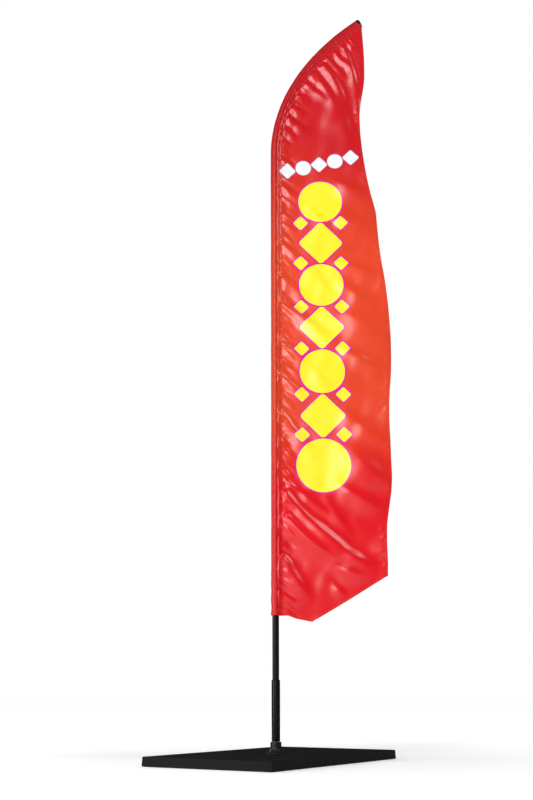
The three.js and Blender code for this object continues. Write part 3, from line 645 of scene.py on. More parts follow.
def make_materials(scene):
    """Builds the shared groups, then every finish of the object."""
    make_surface_grain()
    make_weave()
    make_dust()
    make_printed_shape()
    base, pole, cloth = scene.flag_base, scene.flag_pole, scene.flag_print
    cover, black = tuple(base.cover_colour), tuple(pole.colour)
    hard_material("Moulded cover", cover, (0.018, 0.018, 0.019, 1), 0.62,
                  grain_size=0.0011, depth=0.00008, rub=0.15, dust=0.01,
                  **{"Specular IOR Level": 0.1})
    hard_material("Rubber mat", (0.012, 0.012, 0.012), (0.04, 0.04, 0.04, 1), 0.85,
                  grain_size=0.003, depth=0.0004, ribs=0.006, dust=0.0)
    hard_material("Zinc plate", (0.42, 0.44, 0.46), (0.62, 0.63, 0.65, 1), 0.38, metallic=1.0,
                  grain_size=0.006, depth=0.00005, dust=0.1)
    hard_material("Cast ballast", (0.27, 0.26, 0.24), (0.42, 0.41, 0.38, 1), 0.92,
                  grain_size=0.004, depth=0.0006, pores=180.0, dust=0.3)
    hard_material("Black plastic", (0.008, 0.008, 0.0085), (0.03, 0.03, 0.03, 1), 0.42,
                  grain_size=0.0014, depth=0.00006, dust=0.03, **{"Specular IOR Level": 0.3})
    hard_material("Spring steel", (0.30, 0.31, 0.33), (0.55, 0.56, 0.58, 1), 0.3, metallic=1.0,
                  grain_size=0.001, depth=0.00002, stretch=(1, 1, 0.05), dust=0.0)
    hard_material("Bearing steel", (0.58, 0.59, 0.61), (0.72, 0.73, 0.75, 1), 0.18, metallic=1.0,
                  grain_size=0.0008, depth=0.00001, stretch=(1, 1, 0.05), rub=0.1, dust=0.0)
    hard_material("Black alloy tube", black, (0.03, 0.031, 0.033, 1), 0.36,
                  grain_size=0.0009, depth=0.00004, stretch=(1, 1, 0.06), rub=0.15, dust=0.02,
                  **{"Specular IOR Level": 0.16, "Coat Weight": 0.02, "Coat Roughness": 0.25})
    hard_material("Glass fibre", (0.016, 0.016, 0.017), (0.09, 0.09, 0.08, 1), 0.34,
                  grain_size=0.0006, depth=0.00006, stretch=(1, 1, 0.02), rub=0.4, dust=0.0)
    hard_material("Sewing thread", tuple(scene.flag_cloth.thread_colour),
                  (0.7, 0.08, 0.06, 1), 0.55, grain_size=0.0004, depth=0.00008, dust=0.0)
    cloth_material("Printed satin", True, 0.22, 0.62, 1.0, cloth)
    # Painted shade: the sleeve's ground colour is darkened to 0.76 of the panel's, standing for
    # the darker light on the round sleeve.
    cloth_material("Sleeve satin", False, 0.38, 0.35, 0.76, cloth)
    cloth_material("Hem satin", False, 0.30, 0.5, 0.97, cloth)


def dress(nodes, material):
    """Gives carried-over CAD nodes a material."""
    for name in nodes:
        NODES[name].data.materials.clear()
        NODES[name].data.materials.append(bpy.data.materials[material])


# ---- Shape of the pole's line and of the cloth, in millimetres ----
def pole_table():
    """Distance, place across, height and heading along the pole's centreline."""
    step = 0.5
    along = np.arange(-1700.0, BEND_LENGTH + step / 2, step)
    middle = np.clip(along + step / 2, 0.0, None)
    foot, tip = 1 / BEND_RADIUS_FOOT, 1 / BEND_RADIUS_TIP

    def heading(s):
        return foot * s + (tip - foot) * s * s / (2 * BEND_LENGTH)

    turn = heading(middle)
    across = np.concatenate([[0.0], np.cumsum(np.sin(turn) * step)[:-1]])
    height = BEND_START - 1700.0 + np.concatenate([[0.0], np.cumsum(np.cos(turn) * step)[:-1]])
    return along, across, height, heading(np.clip(along, 0.0, None))


LINE = pole_table()


def pole_at(distance):
    """Place across, height and heading of the pole's line at a distance along it."""
    return tuple(np.interp(distance, LINE[0], column) for column in LINE[1:])


def beside_pole(distance, offset):
    """A point on the flag's side of the pole's line."""
    across, height, heading = pole_at(distance)
    return across + offset * np.cos(heading), height - offset * np.sin(heading)


SEAM_LINE = beside_pole(LINE[0], SEAM)


def smooth_outline():
    heights = np.arange(440.0, 2310.0, 1.0)
    table = np.array(FREE_EDGE)
    raw = np.interp(heights, table[:, 0], table[:, 1])
    window = np.hanning(EDGE_SMOOTHING + 1)
    padded = np.pad(raw, EDGE_SMOOTHING // 2, mode="edge")
    return heights, np.convolve(padded, window / window.sum(), mode="valid")


OUTLINE = smooth_outline()


def seam_across(height):
    return np.interp(height, SEAM_LINE[1], SEAM_LINE[0])


def free_across(height):
    return np.interp(height, OUTLINE[0], OUTLINE[1])


def lower_height(across):
    table = np.array(LOWER_EDGE)
    return np.interp(across, table[:, 0], table[:, 1])


def ease(share):
    share = np.clip(share, 0.0, 1.0)
    return share * share * (3 - 2 * share)


def ridge(across, height, stroke, samples=28):
    """Height that one fold adds: it rises gently from its lower left and falls away quickly."""
    x0, z0, x1, z1, x2, z2, width, rise = stroke
    margin = 5.5 * width
    near = ((across > min(x0, x1, x2) - margin) & (across < max(x0, x1, x2) + margin)
            & (height > min(z0, z1, z2) - margin) & (height < max(z0, z1, z2) + margin))
    added = np.zeros_like(across)
    if not near.any():
        return added
    px, pz = across[near], height[near]
    best = np.full(px.shape, 1e12)
    share, side, beyond = np.zeros((3, *px.shape))
    for t in np.linspace(0.0, 1.0, samples):
        x = x0 * (1 - t) ** 2 + 2 * x1 * t * (1 - t) + x2 * t * t
        z = z0 * (1 - t) ** 2 + 2 * z1 * t * (1 - t) + z2 * t * t
        run_x, run_z = (x1 - x0) * (1 - t) + (x2 - x1) * t, (z1 - z0) * (1 - t) + (z2 - z1) * t
        squared = (px - x) ** 2 + (pz - z) ** 2
        closer = squared < best
        best[closer] = squared[closer]
        speed = 2 * math.hypot(run_x, run_z)
        ahead = t + 2 * ((px - x) * run_x + (pz - z) * run_z) / speed ** 2
        share[closer] = np.clip(ahead, 0.0, 1.0)[closer]
        beyond[closer] = ((ahead - np.clip(ahead, 0.0, 1.0)) * speed)[closer]
        # Positive on the upper right of a stroke that runs down and to the right.
        side[closer] = (run_x * (pz - z) - run_z * (px - x))[closer] / math.hypot(run_x, run_z)
    off = side / (width * (0.8 + 0.5 * share)) - CREST_SHIFT
    crest = np.where(off < 0, np.exp(-(off / GENTLE_SIDE) ** 2), np.exp(-(off / STEEP_SIDE) ** 2))
    crest = (crest - 0.2 * np.exp(-(off / 2.4) ** 2)) * np.exp(-(beyond / (1.3 * width)) ** 2)
    crest *= 1 - ease((np.abs(off) - 1.8) / 1.8)
    # A fold that starts at the seam is there at once; one that starts in the open rises slowly.
    at_seam = x0 - seam_across(z0) < 45.0
    start = ease(share / 0.12 + 0.35) if at_seam else ease(share / 0.5)
    length = start * (1 - ease((share - 0.5) / 0.5))
    added[near] = rise * crest * length
    return added


def seam_gathers():
    """Small gathers that run down and away from the sleeve's front seam."""
    rng = np.random.RandomState(11)
    strokes = []
    along = SLEEVE_FOOT - BEND_START + 20
    while along < SLEEVE_END - 14:
        x, z = beside_pole(along, SEAM + 1.5)
        bend = float(ease(along / SLEEVE_END)) if along > 0 else 0.0
        first = math.radians(52 - 16 * bend + rng.uniform(-7, 7))
        last = math.radians(38 - 22 * bend + rng.uniform(-8, 8))
        length = rng.uniform(22, 84) * (0.8 if along > 0 else 1.0)
        half = length / 2
        x1, z1 = x + half * math.sin(first), z - half * math.cos(first)
        x2, z2 = x1 + half * math.sin(last), z1 - half * math.cos(last)
        strokes.append((x, z, x1, z1, x2, z2, rng.uniform(4.4, 6.8), rng.uniform(1.0, 2.4)))
        along += rng.uniform(6, 17)
    return strokes


def hem_gathers():
    """Short gathers that run in from the free edge."""
    rng = np.random.RandomState(23)
    strokes = []
    height = 530.0
    while height < 2200.0:
        x = float(free_across(height))
        slant = rng.uniform(-0.22, 0.12)
        length = rng.uniform(12, 36)
        strokes.append((x, height, x - length / 2, height + slant * length / 2,
                        x - length, height + slant * length, rng.uniform(4.2, 5.6),
                        rng.uniform(0.4, 1.2)))
        height += rng.uniform(9, 30)
    return strokes


GATHERS = seam_gathers() + hem_gathers()


def cloth_depth(across, height, settings):
    """How far the cloth's middle lies behind the flag's plane; negative is towards the front."""
    across, height = np.asarray(across, float), np.asarray(height, float)
    seam, free = seam_across(height), free_across(height)
    share = np.clip((across - seam) / np.maximum(free - seam, 1.0), 0.0, 1.1)
    low = lower_height(across)
    up = np.clip((height - low) / (PANEL_TOP - low), 0.0, 1.0)
    ripple = RIPPLE * share ** 2 * np.sqrt(1 - up) * np.sin(
        2 * np.pi * (height - RIPPLE_SLANT * across) / RIPPLE_PITCH)
    distance = np.interp(height, LINE[2], LINE[0])
    centre, _, heading = pole_at(distance)
    beside = (across - centre) * np.cos(heading)
    lap = -(SLEEVE_RADIUS + 0.7) * (1 - ease((beside - SEAM) / (LAP_END - SEAM)))
    raised = np.zeros_like(across)
    for stroke in FOLDS:
        raised += settings.fold_height * ridge(across, height, stroke)
    for stroke in GATHERS:
        raised += settings.pucker_height * ridge(across, height, stroke, 12)
    quiet = ease((beside - SEAM) / 4.0)
    creep = (0.5 * np.sin(across / 17.0 + height / 41.0) * np.sin(height / 29.0 - across / 53.0)
             + 0.35 * np.sin(across / 9.0 - height / 23.0 + 1.3) * np.sin(height / 67.0))
    return lap + ripple - (raised + creep) * quiet


def cloth_plan(across, height):
    """Place on the printed cloth as a UV in the unit square."""
    return np.stack([np.asarray(across) / MAP_WIDTH, np.asarray(height) / MAP_HEIGHT], axis=-1)


def sheet_piece(name, across, depth, height, plan, thickness):
    """A sheet with a real thickness over a grid of points given in millimetres."""
    rows, columns = across.shape
    points = np.stack([across, depth, height], axis=-1).reshape(-1, 3) * MM
    faces = skin([range(columns)] * rows, around=False)
    piece = mesh_piece(name, points, faces, plan.reshape(-1, 2), 180.0)
    modifier = piece.modifiers.new("Cloth thickness", "SOLIDIFY")
    modifier.thickness = thickness
    modifier.offset = 0.0
    baked(piece)
    smooth(piece, 70.0)
    return piece


def bead(name, loops, plan):
    """A closed strip whose cross-section is a loop of points, with its ends filled."""
    size = len(loops[0])
    faces = skin(loops)
    faces.append(tuple(range(size)))
    faces.append(tuple(range((len(loops) - 1) * size, len(loops) * size)))
    points = np.concatenate([np.asarray(loop) for loop in loops]) * MM
    piece = mesh_piece(name, points, faces, plan, 50.0)
    face_outwards(piece, merge=False)
    smooth(piece, 50.0)
    return piece


# ---- Base ----
def rounded_outline(length, width, corner, turn, count=96):
    """Points round a rectangle with round corners, spread by angle from its middle."""
    points = []
    for i in range(count):
        angle = 2 * math.pi * i / count
        ray = Vector((math.cos(angle), math.sin(angle)))
        points.append(ray / max(abs(ray.x) / (length / 2), abs(ray.y) / (width / 2)))
    for side_x, side_y in ((1, 1), (-1, 1), (-1, -1), (1, -1)):
        centre = Vector((side_x * (length / 2 - corner), side_y * (width / 2 - corner)))
        middle = math.atan2(side_y * width, side_x * length) / (2 * math.pi) * count
        outward = math.atan2(side_y, side_x)
        for k in range(-2, 3):
            angle = outward + math.radians(22.5 * k)
            points[(round(middle) + k) % count] = centre + corner * Vector(
                (math.cos(angle), math.sin(angle)))
    spin = Matrix.Rotation(turn, 2)
    return [spin @ p for p in points]


class FLAG_OT_base_cover(bpy.types.Operator):
    """Moulded cover of the base, with soft edges, the boss's seat and six screw pillars"""

    bl_idname = "flag.base_cover"
    bl_label = "Base cover"

    def execute(self, context):
        settings = context.scene.flag_base
        edge = settings.edge_radius
        length, width, corner, turn = 0.680, 0.400, 0.005, math.radians(58.2)
        spread, foot, top, wall = 0.00111, 0.001, 0.025, 0.003
        seat, seat_radius, bore = top - 0.001, reach("spindle_boss")[0] + 0.0003, 0.0073
        circle = [Vector((math.cos(turn + 2 * math.pi * i / 96),
                          math.sin(turn + 2 * math.pi * i / 96))) for i in range(96)]

        def ring(radius, height):
            return [(p.x * radius, p.y * radius, height) for p in circle]

        def plate(inset, height, rounding=corner):
            outline = rounded_outline(length - 2 * inset, width - 2 * inset, rounding, turn)
            return [(p.x, p.y, height) for p in outline]

        loops = [ring(bore, top - wall), ring(bore, seat), ring(seat_radius - 0.0004, seat),
                 ring(seat_radius, seat), ring(seat_radius, top - 0.0003),
                 ring(seat_radius + 0.0003, top), ring(seat_radius + 0.0008, top),
                 plate(edge + 0.0006, top)]
        for k in range(5):
            bend = math.radians(22.5 * k)
            loops.append(plate(edge * (1 - math.sin(bend)) - spread * 0.05 * k / 4,
                               top - edge * (1 - math.cos(bend))))
        loops += [plate(-spread * 0.1, top - edge - 0.0006), plate(-spread * 0.96, foot + 0.0008),
                  plate(-spread, foot + 0.0002), plate(-spread + 0.0003, foot),
                  plate(wall - 0.0003, foot, 0.0025), plate(wall, foot + 0.0003, 0.0025),
                  plate(wall, top - wall, 0.0025)]
        points = [p for loop in loops for p in loop]
        piece = mesh_piece("base_cover_shell", points, skin(loops, along=True))
        face_outwards(piece)
        # Screw pillars under the ceiling, with the pilot holes that the screws bite into.
        shells = bmesh.new()
        shells.from_mesh(piece.data)
        for x, y in screw_places():
            pillar = turned("pillar", softened(
                [(0.0023, 0.0046), (0.006, 0.0046), (0.006, 0.0224), (0.0, 0.0224),
                 (0.0, 0.0186), (0.0023, 0.0186)], 0.0003), 24, (x, y))
            shells.from_mesh(pillar.data)
            bpy.data.objects.remove(pillar)
        shells.to_mesh(piece.data)
        shells.free()
        smooth(piece, 30.0)
        finish_piece(piece, "base", "Moulded cover", "cover_plastic",
                     "base_cover")
        return {"FINISHED"}


def screw_places():
    """Axes of the six cover screws."""
    places = []
    for name in sorted(n for n in NODES if n.startswith("cover_screw_")):
        low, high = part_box(name)
        places.append(((low.x + high.x) / 2, (low.y + high.y) / 2))
    return places


def screws_tree():
    """Geometry nodes that set one screw on each point."""
    tree, start, end = new_group(
        "Screws On Points",
        [("Geometry", "Geometry", None), ("Screw", "Object", None),
         ("Screw Size", "Float", None), ("Finish", "Material", None)],
        [("Geometry", "Geometry")], "GeometryNodeTree")
    screw = add(tree, "GeometryNodeObjectInfo", {"Object": start.outputs["Screw"]})
    points = add(tree, "GeometryNodeMeshToPoints", {"Mesh": start.outputs["Geometry"]})
    placed = add(tree, "GeometryNodeInstanceOnPoints", {
        "Points": points.outputs[0], "Instance": screw.outputs["Geometry"],
        "Scale": start.outputs["Screw Size"]})
    real = add(tree, "GeometryNodeRealizeInstances", {0: placed.outputs[0]})
    finished = add(tree, "GeometryNodeSetMaterial", {
        "Geometry": real.outputs[0], "Material": start.outputs["Finish"]})
    tree.links.new(finished.outputs[0], end.inputs[0])
    return tree


def run_tree(piece, tree, values):
    """Runs geometry nodes on a piece with named values, and keeps their plain mesh."""
    modifier = piece.modifiers.new(tree.name, "NODES")
    modifier.node_group = tree
    for item in tree.interface.items_tree:
        if item.item_type == "SOCKET" and item.in_out == "INPUT" and item.name in values:
            modifier[item.identifier] = values[item.name]
    return baked(piece)


class FLAG_OT_cover_screws(bpy.types.Operator):
    """Six pan-head screws with a cross recess, driven up into the cover's pillars"""

    bl_idname = "flag.cover_screws"
    bl_label = "Cover screws"

    def execute(self, context):
        head_foot, head_top, tip = 0.00055, 0.00215, 0.0183
        profile = [Vector((0.0, head_foot)), Vector((0.0030, head_foot)),
                   Vector((0.0041, head_foot + 0.0003)), Vector((0.0045, head_foot + 0.0008)),
                   Vector((0.0045, head_top)), Vector((0.0020, head_top))]
        pitch = 0.0012
        height = head_top + 0.0006
        while height + pitch < tip - 0.001:
            profile += [Vector((0.0016, height)), Vector((0.0020, height + pitch / 2))]
            height += pitch
        profile += [Vector((0.0016, height)), Vector((0.0006, tip)), Vector((0.0, tip))]
        screw = turned("screw_pattern", profile, 24)
        for turn in (0.0, math.pi / 2):
            bar = [(x, y, z) for z in (0.0, head_foot + 0.0010)
                   for x, y in ((-0.0021, -0.0004), (0.0021, -0.0004), (0.0021, 0.0004),
                                (-0.0021, 0.0004))]
            tool = mesh_piece("recess", bar, skin([range(4)] * 2) + [(3, 2, 1, 0), (4, 5, 6, 7)])
            face_outwards(tool)
            laid(tool, 0.0, turn, "Z")
            cut_by(screw, tool)
        points = [(x, y, 0.0) for x, y in screw_places()]
        piece = mesh_piece("cover_screws", points, [])
        run_tree(piece, screws_tree(), {
            "Screw": screw, "Screw Size": 1.0, "Finish": bpy.data.materials["Zinc plate"]})
        bpy.data.objects.remove(screw)
        smooth(piece)
        finish_piece(piece, "base", "Zinc plate", "zinc_plate",
                     *sorted(n for n in NODES if n.startswith("cover_screw_")))
        return {"FINISHED"}


class FLAG_OT_base_inside(bpy.types.Operator):
    """Finishes of the mat, tray, ballast and spindle inside the base"""

    bl_idname = "flag.base_inside"
    bl_label = "Base inside"

    def execute(self, context):
        dress(["anti_slip_mat"], "Rubber mat")
        dress(["ballast_slab"], "Cast ballast")
        dress(["base_tray", "spindle", "clamp_washer", "clamp_nut"]
              + [f"foot_screw_{i}" for i in range(1, 5)], "Zinc plate")
        return {"FINISHED"}


class FLAG_OT_spindle_boss(bpy.types.Operator):
    """Black boss that flares into the base, with its set screw at the back"""

    bl_idname = "flag.spindle_boss"
    bl_label = "Spindle boss"

    def execute(self, context):
        settings = context.scene.flag_base
        skirt, foot, top = reach("spindle_boss")
        rim = foot + 0.002
        neck = reach("rotor_tube")[0] + settings.boss_ledge
        neck_foot, bore = top - settings.boss_neck, 0.0073
        flare = []
        for k in range(15):
            t = k / 14
            flare.append((skirt * (1 - t) ** 2 + neck * (2 * t * (1 - t) + t * t),
                          rim * ((1 - t) ** 2 + 2 * t * (1 - t)) + neck_foot * t * t))
        outside = [(bore, foot), (skirt, foot)] + flare + [
            (neck, top - 0.0012), (neck - 0.0012, top), (bore, top)]
        piece = turned("spindle_boss_body", softened(outside, 0.0003, 2), 96)
        middle = top - settings.boss_neck / 2
        hole = turned("hole", [(0.0, -0.001), (0.0023, -0.001), (0.0023, 0.03), (0.0, 0.03)], 24)
        laid(hole, middle, -math.pi / 2, "X")
        cut_by(piece, hole)
        finish_piece(piece, "base", "Black plastic", "black_plastic",
                     "spindle_boss")
        # Set screw: a stub with a chamfered end and a hexagonal socket.
        low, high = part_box("boss_set_screw")
        start, end = low.y, high.y
        screw = turned("set_screw", softened(
            [(0.0, start), (0.0013, start), (0.0020, start + 0.0007), (0.0020, end),
             (0.0, end)], 0.0002, 2), 24)
        socket = turned("socket", [(0.0, end - 0.0018), (0.0012, end - 0.0018),
                                   (0.0012, end + 0.001), (0.0, end + 0.001)], 6)
        cut_by(screw, socket)
        laid(screw, middle, -math.pi / 2, "X")
        finish_piece(screw, "base", "Zinc plate", "zinc_plate",
                     "boss_set_screw")
        return {"FINISHED"}


# ---- Rotor ----
class FLAG_OT_rotor(bpy.types.Operator):
    """Rotor tube with its ring groove and pin hole, and the finishes of what is inside it"""

    bl_idname = "flag.rotor"
    bl_label = "Rotor tube"

    def execute(self, context):
        pole = context.scene.flag_pole
        radius, foot, top = reach("rotor_tube")
        bore = radius - 0.0022
        _, ring_foot, ring_top = reach("retaining_ring")
        groove, gap, chamfer = bore + 0.0009, 0.0003, 0.0008
        outside = [(bore, foot), (radius - chamfer, foot), (radius, foot + chamfer),
                   (radius, top - chamfer), (radius - chamfer, top), (bore, top),
                   (bore, ring_top + gap), (groove, ring_top + gap), (groove, ring_foot - gap),
                   (bore, ring_foot - gap)]
        piece = turned("rotor_tube_body", softened(outside, pole.edge_radius), pole.sides)
        low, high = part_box("plug_pin")
        hole = turned("hole", [(0.0, -0.03), (0.0023, -0.03), (0.0023, 0.03), (0.0, 0.03)], 24)
        laid(hole, (low.z + high.z) / 2, math.pi / 2, "Y")
        cut_by(piece, hole)
        finish_piece(piece, "rotor", "Black alloy tube", "black_alloy",
                     "rotor_tube")
        pin = turned("plug_pin_body", softened(
            [(0.0, low.x), (0.002, low.x), (0.002, high.x), (0.0, high.x)], 0.0003), 32)
        laid(pin, (low.z + high.z) / 2, math.pi / 2, "Y")
        finish_piece(pin, "rotor", "Spring steel", "spring_steel", "plug_pin")
        dress(["retaining_ring"], "Spring steel")
        dress([n for n in NODES if n.startswith(("lower_bearing", "upper_bearing"))],
              "Bearing steel")
        dress(["inner_spacer", "outer_spacer", "pole_stop_plug"], "Black plastic")
        return {"FINISHED"}


# ---- Pole ----
def swept(name, rows, sides=32):
    """A closed solid along the pole's line from rows of (distance, radius), in millimetres."""
    loops = []
    for distance, radius in rows:
        x, z, heading = (float(v) for v in pole_at(distance))
        side = Vector((math.cos(heading), 0.0, -math.sin(heading)))
        middle = Vector((x, 0.0, z))
        loops.append([
            (middle + side * radius * math.cos(2 * math.pi * i / sides)
             + Vector((0.0, radius * math.sin(2 * math.pi * i / sides), 0.0))) * MM
            for i in range(sides)])
    faces = skin(loops)
    faces.append(tuple(range(sides)))
    faces.append(tuple(range((len(loops) - 1) * sides, len(loops) * sides)))
    piece = mesh_piece(name, [p for loop in loops for p in loop], faces)
    face_outwards(piece)
    smooth(piece)
    return piece


class FLAG_OT_pole(bpy.types.Operator):
    """Straight tubes of the pole with their collars, foot cap and bent tip rod"""

    bl_idname = "flag.pole"
    bl_label = "Pole"

    def execute(self, context):
        pole = context.scene.flag_pole
        alloy = "Black alloy tube"
        for name, wall in (("pole_lower", 0.0018), ("pole_middle", 0.0016),
                           ("pole_upper", 0.0015)):
            radius, foot, top = reach(name)
            ring = [(radius - wall, foot), (radius, foot), (radius, top), (radius - wall, top)]
            piece = turned(name + "_tube", softened(ring, pole.edge_radius), pole.sides)
            finish_piece(piece, "pole", alloy, "black_alloy", name)
        for name, above in (("lower_joint_collar", "pole_middle"),
                            ("middle_joint_collar", "pole_upper"),
                            ("upper_joint_collar", "pole_tip_rod")):
            radius, foot, top = reach(name)
            inner = reach(above)[0] + 0.0003
            ring = [(inner, foot), (radius, foot), (radius, top), (inner, top)]
            piece = turned(name + "_ring", softened(ring, pole.edge_radius), pole.sides)
            finish_piece(piece, "pole", alloy, "black_alloy", name)
        radius, foot, top = reach("pole_foot_cap")
        spigot = reach("pole_lower")[0] - 0.0018 - 0.0003
        cap = turned("pole_foot_plug", softened(
            [(0.0, foot), (radius, foot), (radius, foot + 0.002), (spigot, foot + 0.002),
             (spigot, top), (0.0, top)], 0.0006), pole.sides)
        finish_piece(cap, "pole", "Black plastic", "black_plastic",
                     "pole_foot_cap")
        rod_radius = reach("pole_tip_rod")[0] / MM
        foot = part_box("pole_tip_rod")[0].z / MM - BEND_START
        end = BEND_LENGTH - TIP_CAP_LENGTH + TIP_CAP_SOCKET - 0.3
        rows = [(foot, rod_radius - 0.6), (foot + 0.6, rod_radius)]
        rows += [(s, rod_radius) for s in np.linspace(0.0, end - 0.6, 60)]
        rows.append((end, rod_radius - 0.6))
        rod = swept("pole_tip_bow", rows, 24)
        finish_piece(rod, "pole", "Glass fibre", "glass_fibre",
                     "pole_tip_rod")
        return {"FINISHED"}


class FLAG_OT_tip_cap(bpy.types.Operator):
    """Black cap that closes the sleeve at the flag's tip"""

    bl_idname = "flag.tip_cap"
    bl_label = "Tip cap"

    def execute(self, context):
        start, radius = BEND_LENGTH - TIP_CAP_LENGTH, SLEEVE_RADIUS + 0.35
        rows = [(start, radius - 0.5), (start + 0.4, radius), (start + 2.4, radius),
                (start + 2.7, radius - 0.4), (start + 3.3, radius - 0.4), (start + 3.6, radius),
                (start + 7.0, radius)]
        for k in range(1, 6):
            bend = math.radians(18 * k)
            rows.append((start + 7.0 + 3.0 * math.sin(bend), radius - 3.0 * (1 - math.cos(bend))))
        rows.append((start + TIP_CAP_LENGTH, radius * 0.35))
        cap = swept("tip_cap_body", rows, 48)
        rod = reach("pole_tip_rod")[0] / MM + 0.3
        cut_by(cap, swept("socket", [(start - 1.0, rod), (start + TIP_CAP_SOCKET, rod)], 32))
        finish_piece(cap, "pole", "Black plastic", "black_plastic", "tip_cap")
        return {"FINISHED"}


# ---- Flag ----
def sleeve_section():
    """Across the sleeve's strip, front seam first: offsets towards the flag and behind it."""
    front = math.asin(SEAM / SLEEVE_RADIUS)
    leave = math.radians(52)
    points = []
    for turn in np.linspace(-math.pi / 2 + front, -math.pi * 3 / 2 - leave * 0.72, 46):
        points.append((SLEEVE_RADIUS * math.cos(turn), SLEEVE_RADIUS * math.sin(turn)))
    last = Vector(points[-1])
    end = Vector((BACK_SEAM, 0.9))
    for t in np.linspace(0.0, 1.0, 9)[1:]:
        points.append(tuple(last.lerp(end, t)))
    points.append((BACK_SEAM + 4.0, 0.9))
    return np.array(points)


class FLAG_OT_sleeve(bpy.types.Operator):
    """Pole sleeve: a strip of cloth folded round the pole and sewn to the panel"""

    bl_idname = "flag.sleeve"
    bl_label = "Pole sleeve"

    def execute(self, context):
        cloth = context.scene.flag_cloth
        section = sleeve_section()
        along = np.concatenate([
            np.linspace(SLEEVE_FOOT - BEND_START, 0.0, 330)[:-1],
            np.linspace(0.0, SLEEVE_END, 150)])
        x, z, heading = pole_at(along)
        turn = np.arctan2(section[:, 1], section[:, 0])
        round_part = np.hypot(section[:, 0], section[:, 1]) < SLEEVE_RADIUS + 0.5
        rng = np.random.RandomState(5)
        phase = rng.uniform(0, 2 * math.pi, 6)
        s, t = np.meshgrid(along, turn, indexing="ij")
        swell = (0.22 * np.sin(s / 31.0 + 1.7 * np.sin(t) + phase[0])
                 * np.sin(s / 83.0 + 2 * t + phase[1])
                 + 0.16 * np.sin(s / 12.0 + 2.2 * np.cos(t) + phase[2]) * np.sin(s / 57.0))
        low = np.clip((SLEEVE_FOOT + 150 - BEND_START - s) / 150, 0.0, 1.0)
        swell += 0.75 * low * np.sin(s / 6.2 + 0.8 * np.sin(s / 21.0) + phase[3]) * np.cos(t) ** 2
        seam_near = np.exp(-np.arange(len(section)) / 7.0)[None, :]
        swell += 0.55 * seam_near * np.sin(s / 4.4 + 1.4 * np.sin(s / 17.0)) * cloth.pucker_height
        swell = np.where(round_part[None, :], swell, swell * 0.25)
        out = 1 + swell / SLEEVE_RADIUS
        offset, depth = section[None, :, 0] * out, section[None, :, 1] * out
        # Where the panel's end comes down to nothing, the back edge tucks in under the tip.
        room = np.clip((SLEEVE_END + 12 - s) / 60, 0.35, 1.0)
        offset = np.where(section[None, :, 0] > SLEEVE_RADIUS,
                          SLEEVE_RADIUS + (offset - SLEEVE_RADIUS) * room, offset)
        across = x[:, None] + offset * np.cos(heading)[:, None]
        height = z[:, None] - offset * np.sin(heading)[:, None]
        # The flat part lies close behind the panel.
        flat = np.arange(len(section)) >= 46
        behind = cloth_depth(across[:, flat], height[:, flat], cloth) + 0.8
        join = np.clip((np.arange(flat.sum()) + 1) / (flat.sum() - 1), 0.0, 1.0)[None, :]
        depth[:, flat] = np.maximum(depth[:, flat] * (1 - join) + behind * join, behind)
        widths = np.concatenate([[0.0], np.cumsum(np.hypot(*np.diff(section, axis=0).T))])
        # The strip's own plan keeps the height, so that its colour runs with the panel's.
        plan = np.stack([np.broadcast_to(widths / MAP_WIDTH, s.shape),
                         height / MAP_HEIGHT], axis=-1)
        piece = sheet_piece("flag_sleeve", across, depth, height, plan, cloth.thickness)
        finish_piece(piece, "pole", "Sleeve satin", "sleeve_cloth",
                     "pole_sleeve")
        return {"FINISHED"}


def panel_grid():
    """Places across and heights of the panel's points, row by row from its lower edge."""
    share, up = np.meshgrid(np.linspace(0, 1, PANEL_COLUMNS + 1) ** COLUMN_CROWDING,
                            np.linspace(0, 1, PANEL_ROWS + 1))
    low = lower_height(SEAM + share * (free_across(509.0) - SEAM))
    height = low + (PANEL_TOP - low) * up
    seam = seam_across(height)
    return seam + (free_across(height) - seam) * share, height


class FLAG_OT_panel(bpy.types.Operator):
    """Printed panel with its long folds, and small gathers at the seam and free edge"""

    bl_idname = "flag.panel"
    bl_label = "Flag panel"

    def execute(self, context):
        cloth = context.scene.flag_cloth
        across, height = panel_grid()
        depth = cloth_depth(across, height, cloth)
        piece = sheet_piece("flag_cloth", across, depth, height, cloth_plan(across, height),
                            cloth.thickness)
        finish_piece(piece, "pole", "Printed satin", "flag_cloth",
                     "flag_panel")
        return {"FINISHED"}


def hem_strip(name, edge, inward, cloth):
    """A hem folded round an edge, whose inward direction is given at each point of it."""
    edge, inward = np.asarray(edge, float), np.asarray(inward, float)
    steps = (HEM_FOLD, HEM_FOLD * 0.66, HEM_FOLD * 0.33, 0.5)
    front = [(step, -HEM_PROUD) for step in steps]
    section = front + [(-0.25, -0.25), (-0.25, 0.25)] + [(a, -b) for a, b in reversed(front)]
    columns = []
    for step, rise in section:
        place = edge + inward * step
        columns.append((place[:, 0],
                        cloth_depth(place[:, 0], place[:, 1], cloth) + rise, place[:, 1]))
    points = np.array(columns).transpose(2, 0, 1)
    plan = cloth_plan(points[:, :, 0], points[:, :, 2]).reshape(-1, 2)
    return bead(name, list(points), plan)


def square_to(edge):
    """Unit directions at right angles to a line of points."""
    run = np.gradient(edge, axis=0)
    across = np.stack([-run[:, 1], run[:, 0]], axis=-1)
    return across / np.linalg.norm(across, axis=1)[:, None]


def free_line(inset=0.0, count=560):
    """Points down the free edge, and the direction into the cloth."""
    height = np.linspace(511.0, PANEL_TOP - 2.0, count)
    edge = np.stack([free_across(height), height], axis=-1)
    inward = square_to(edge)
    # Close to the tip the panel is narrower than the hem, so the hem turns in less there.
    room = np.clip((edge[:, 0] - seam_across(height)) / (HEM_FOLD * 1.6), 0.1, 1.0)
    inward *= room[:, None]
    return edge + inward * inset, inward


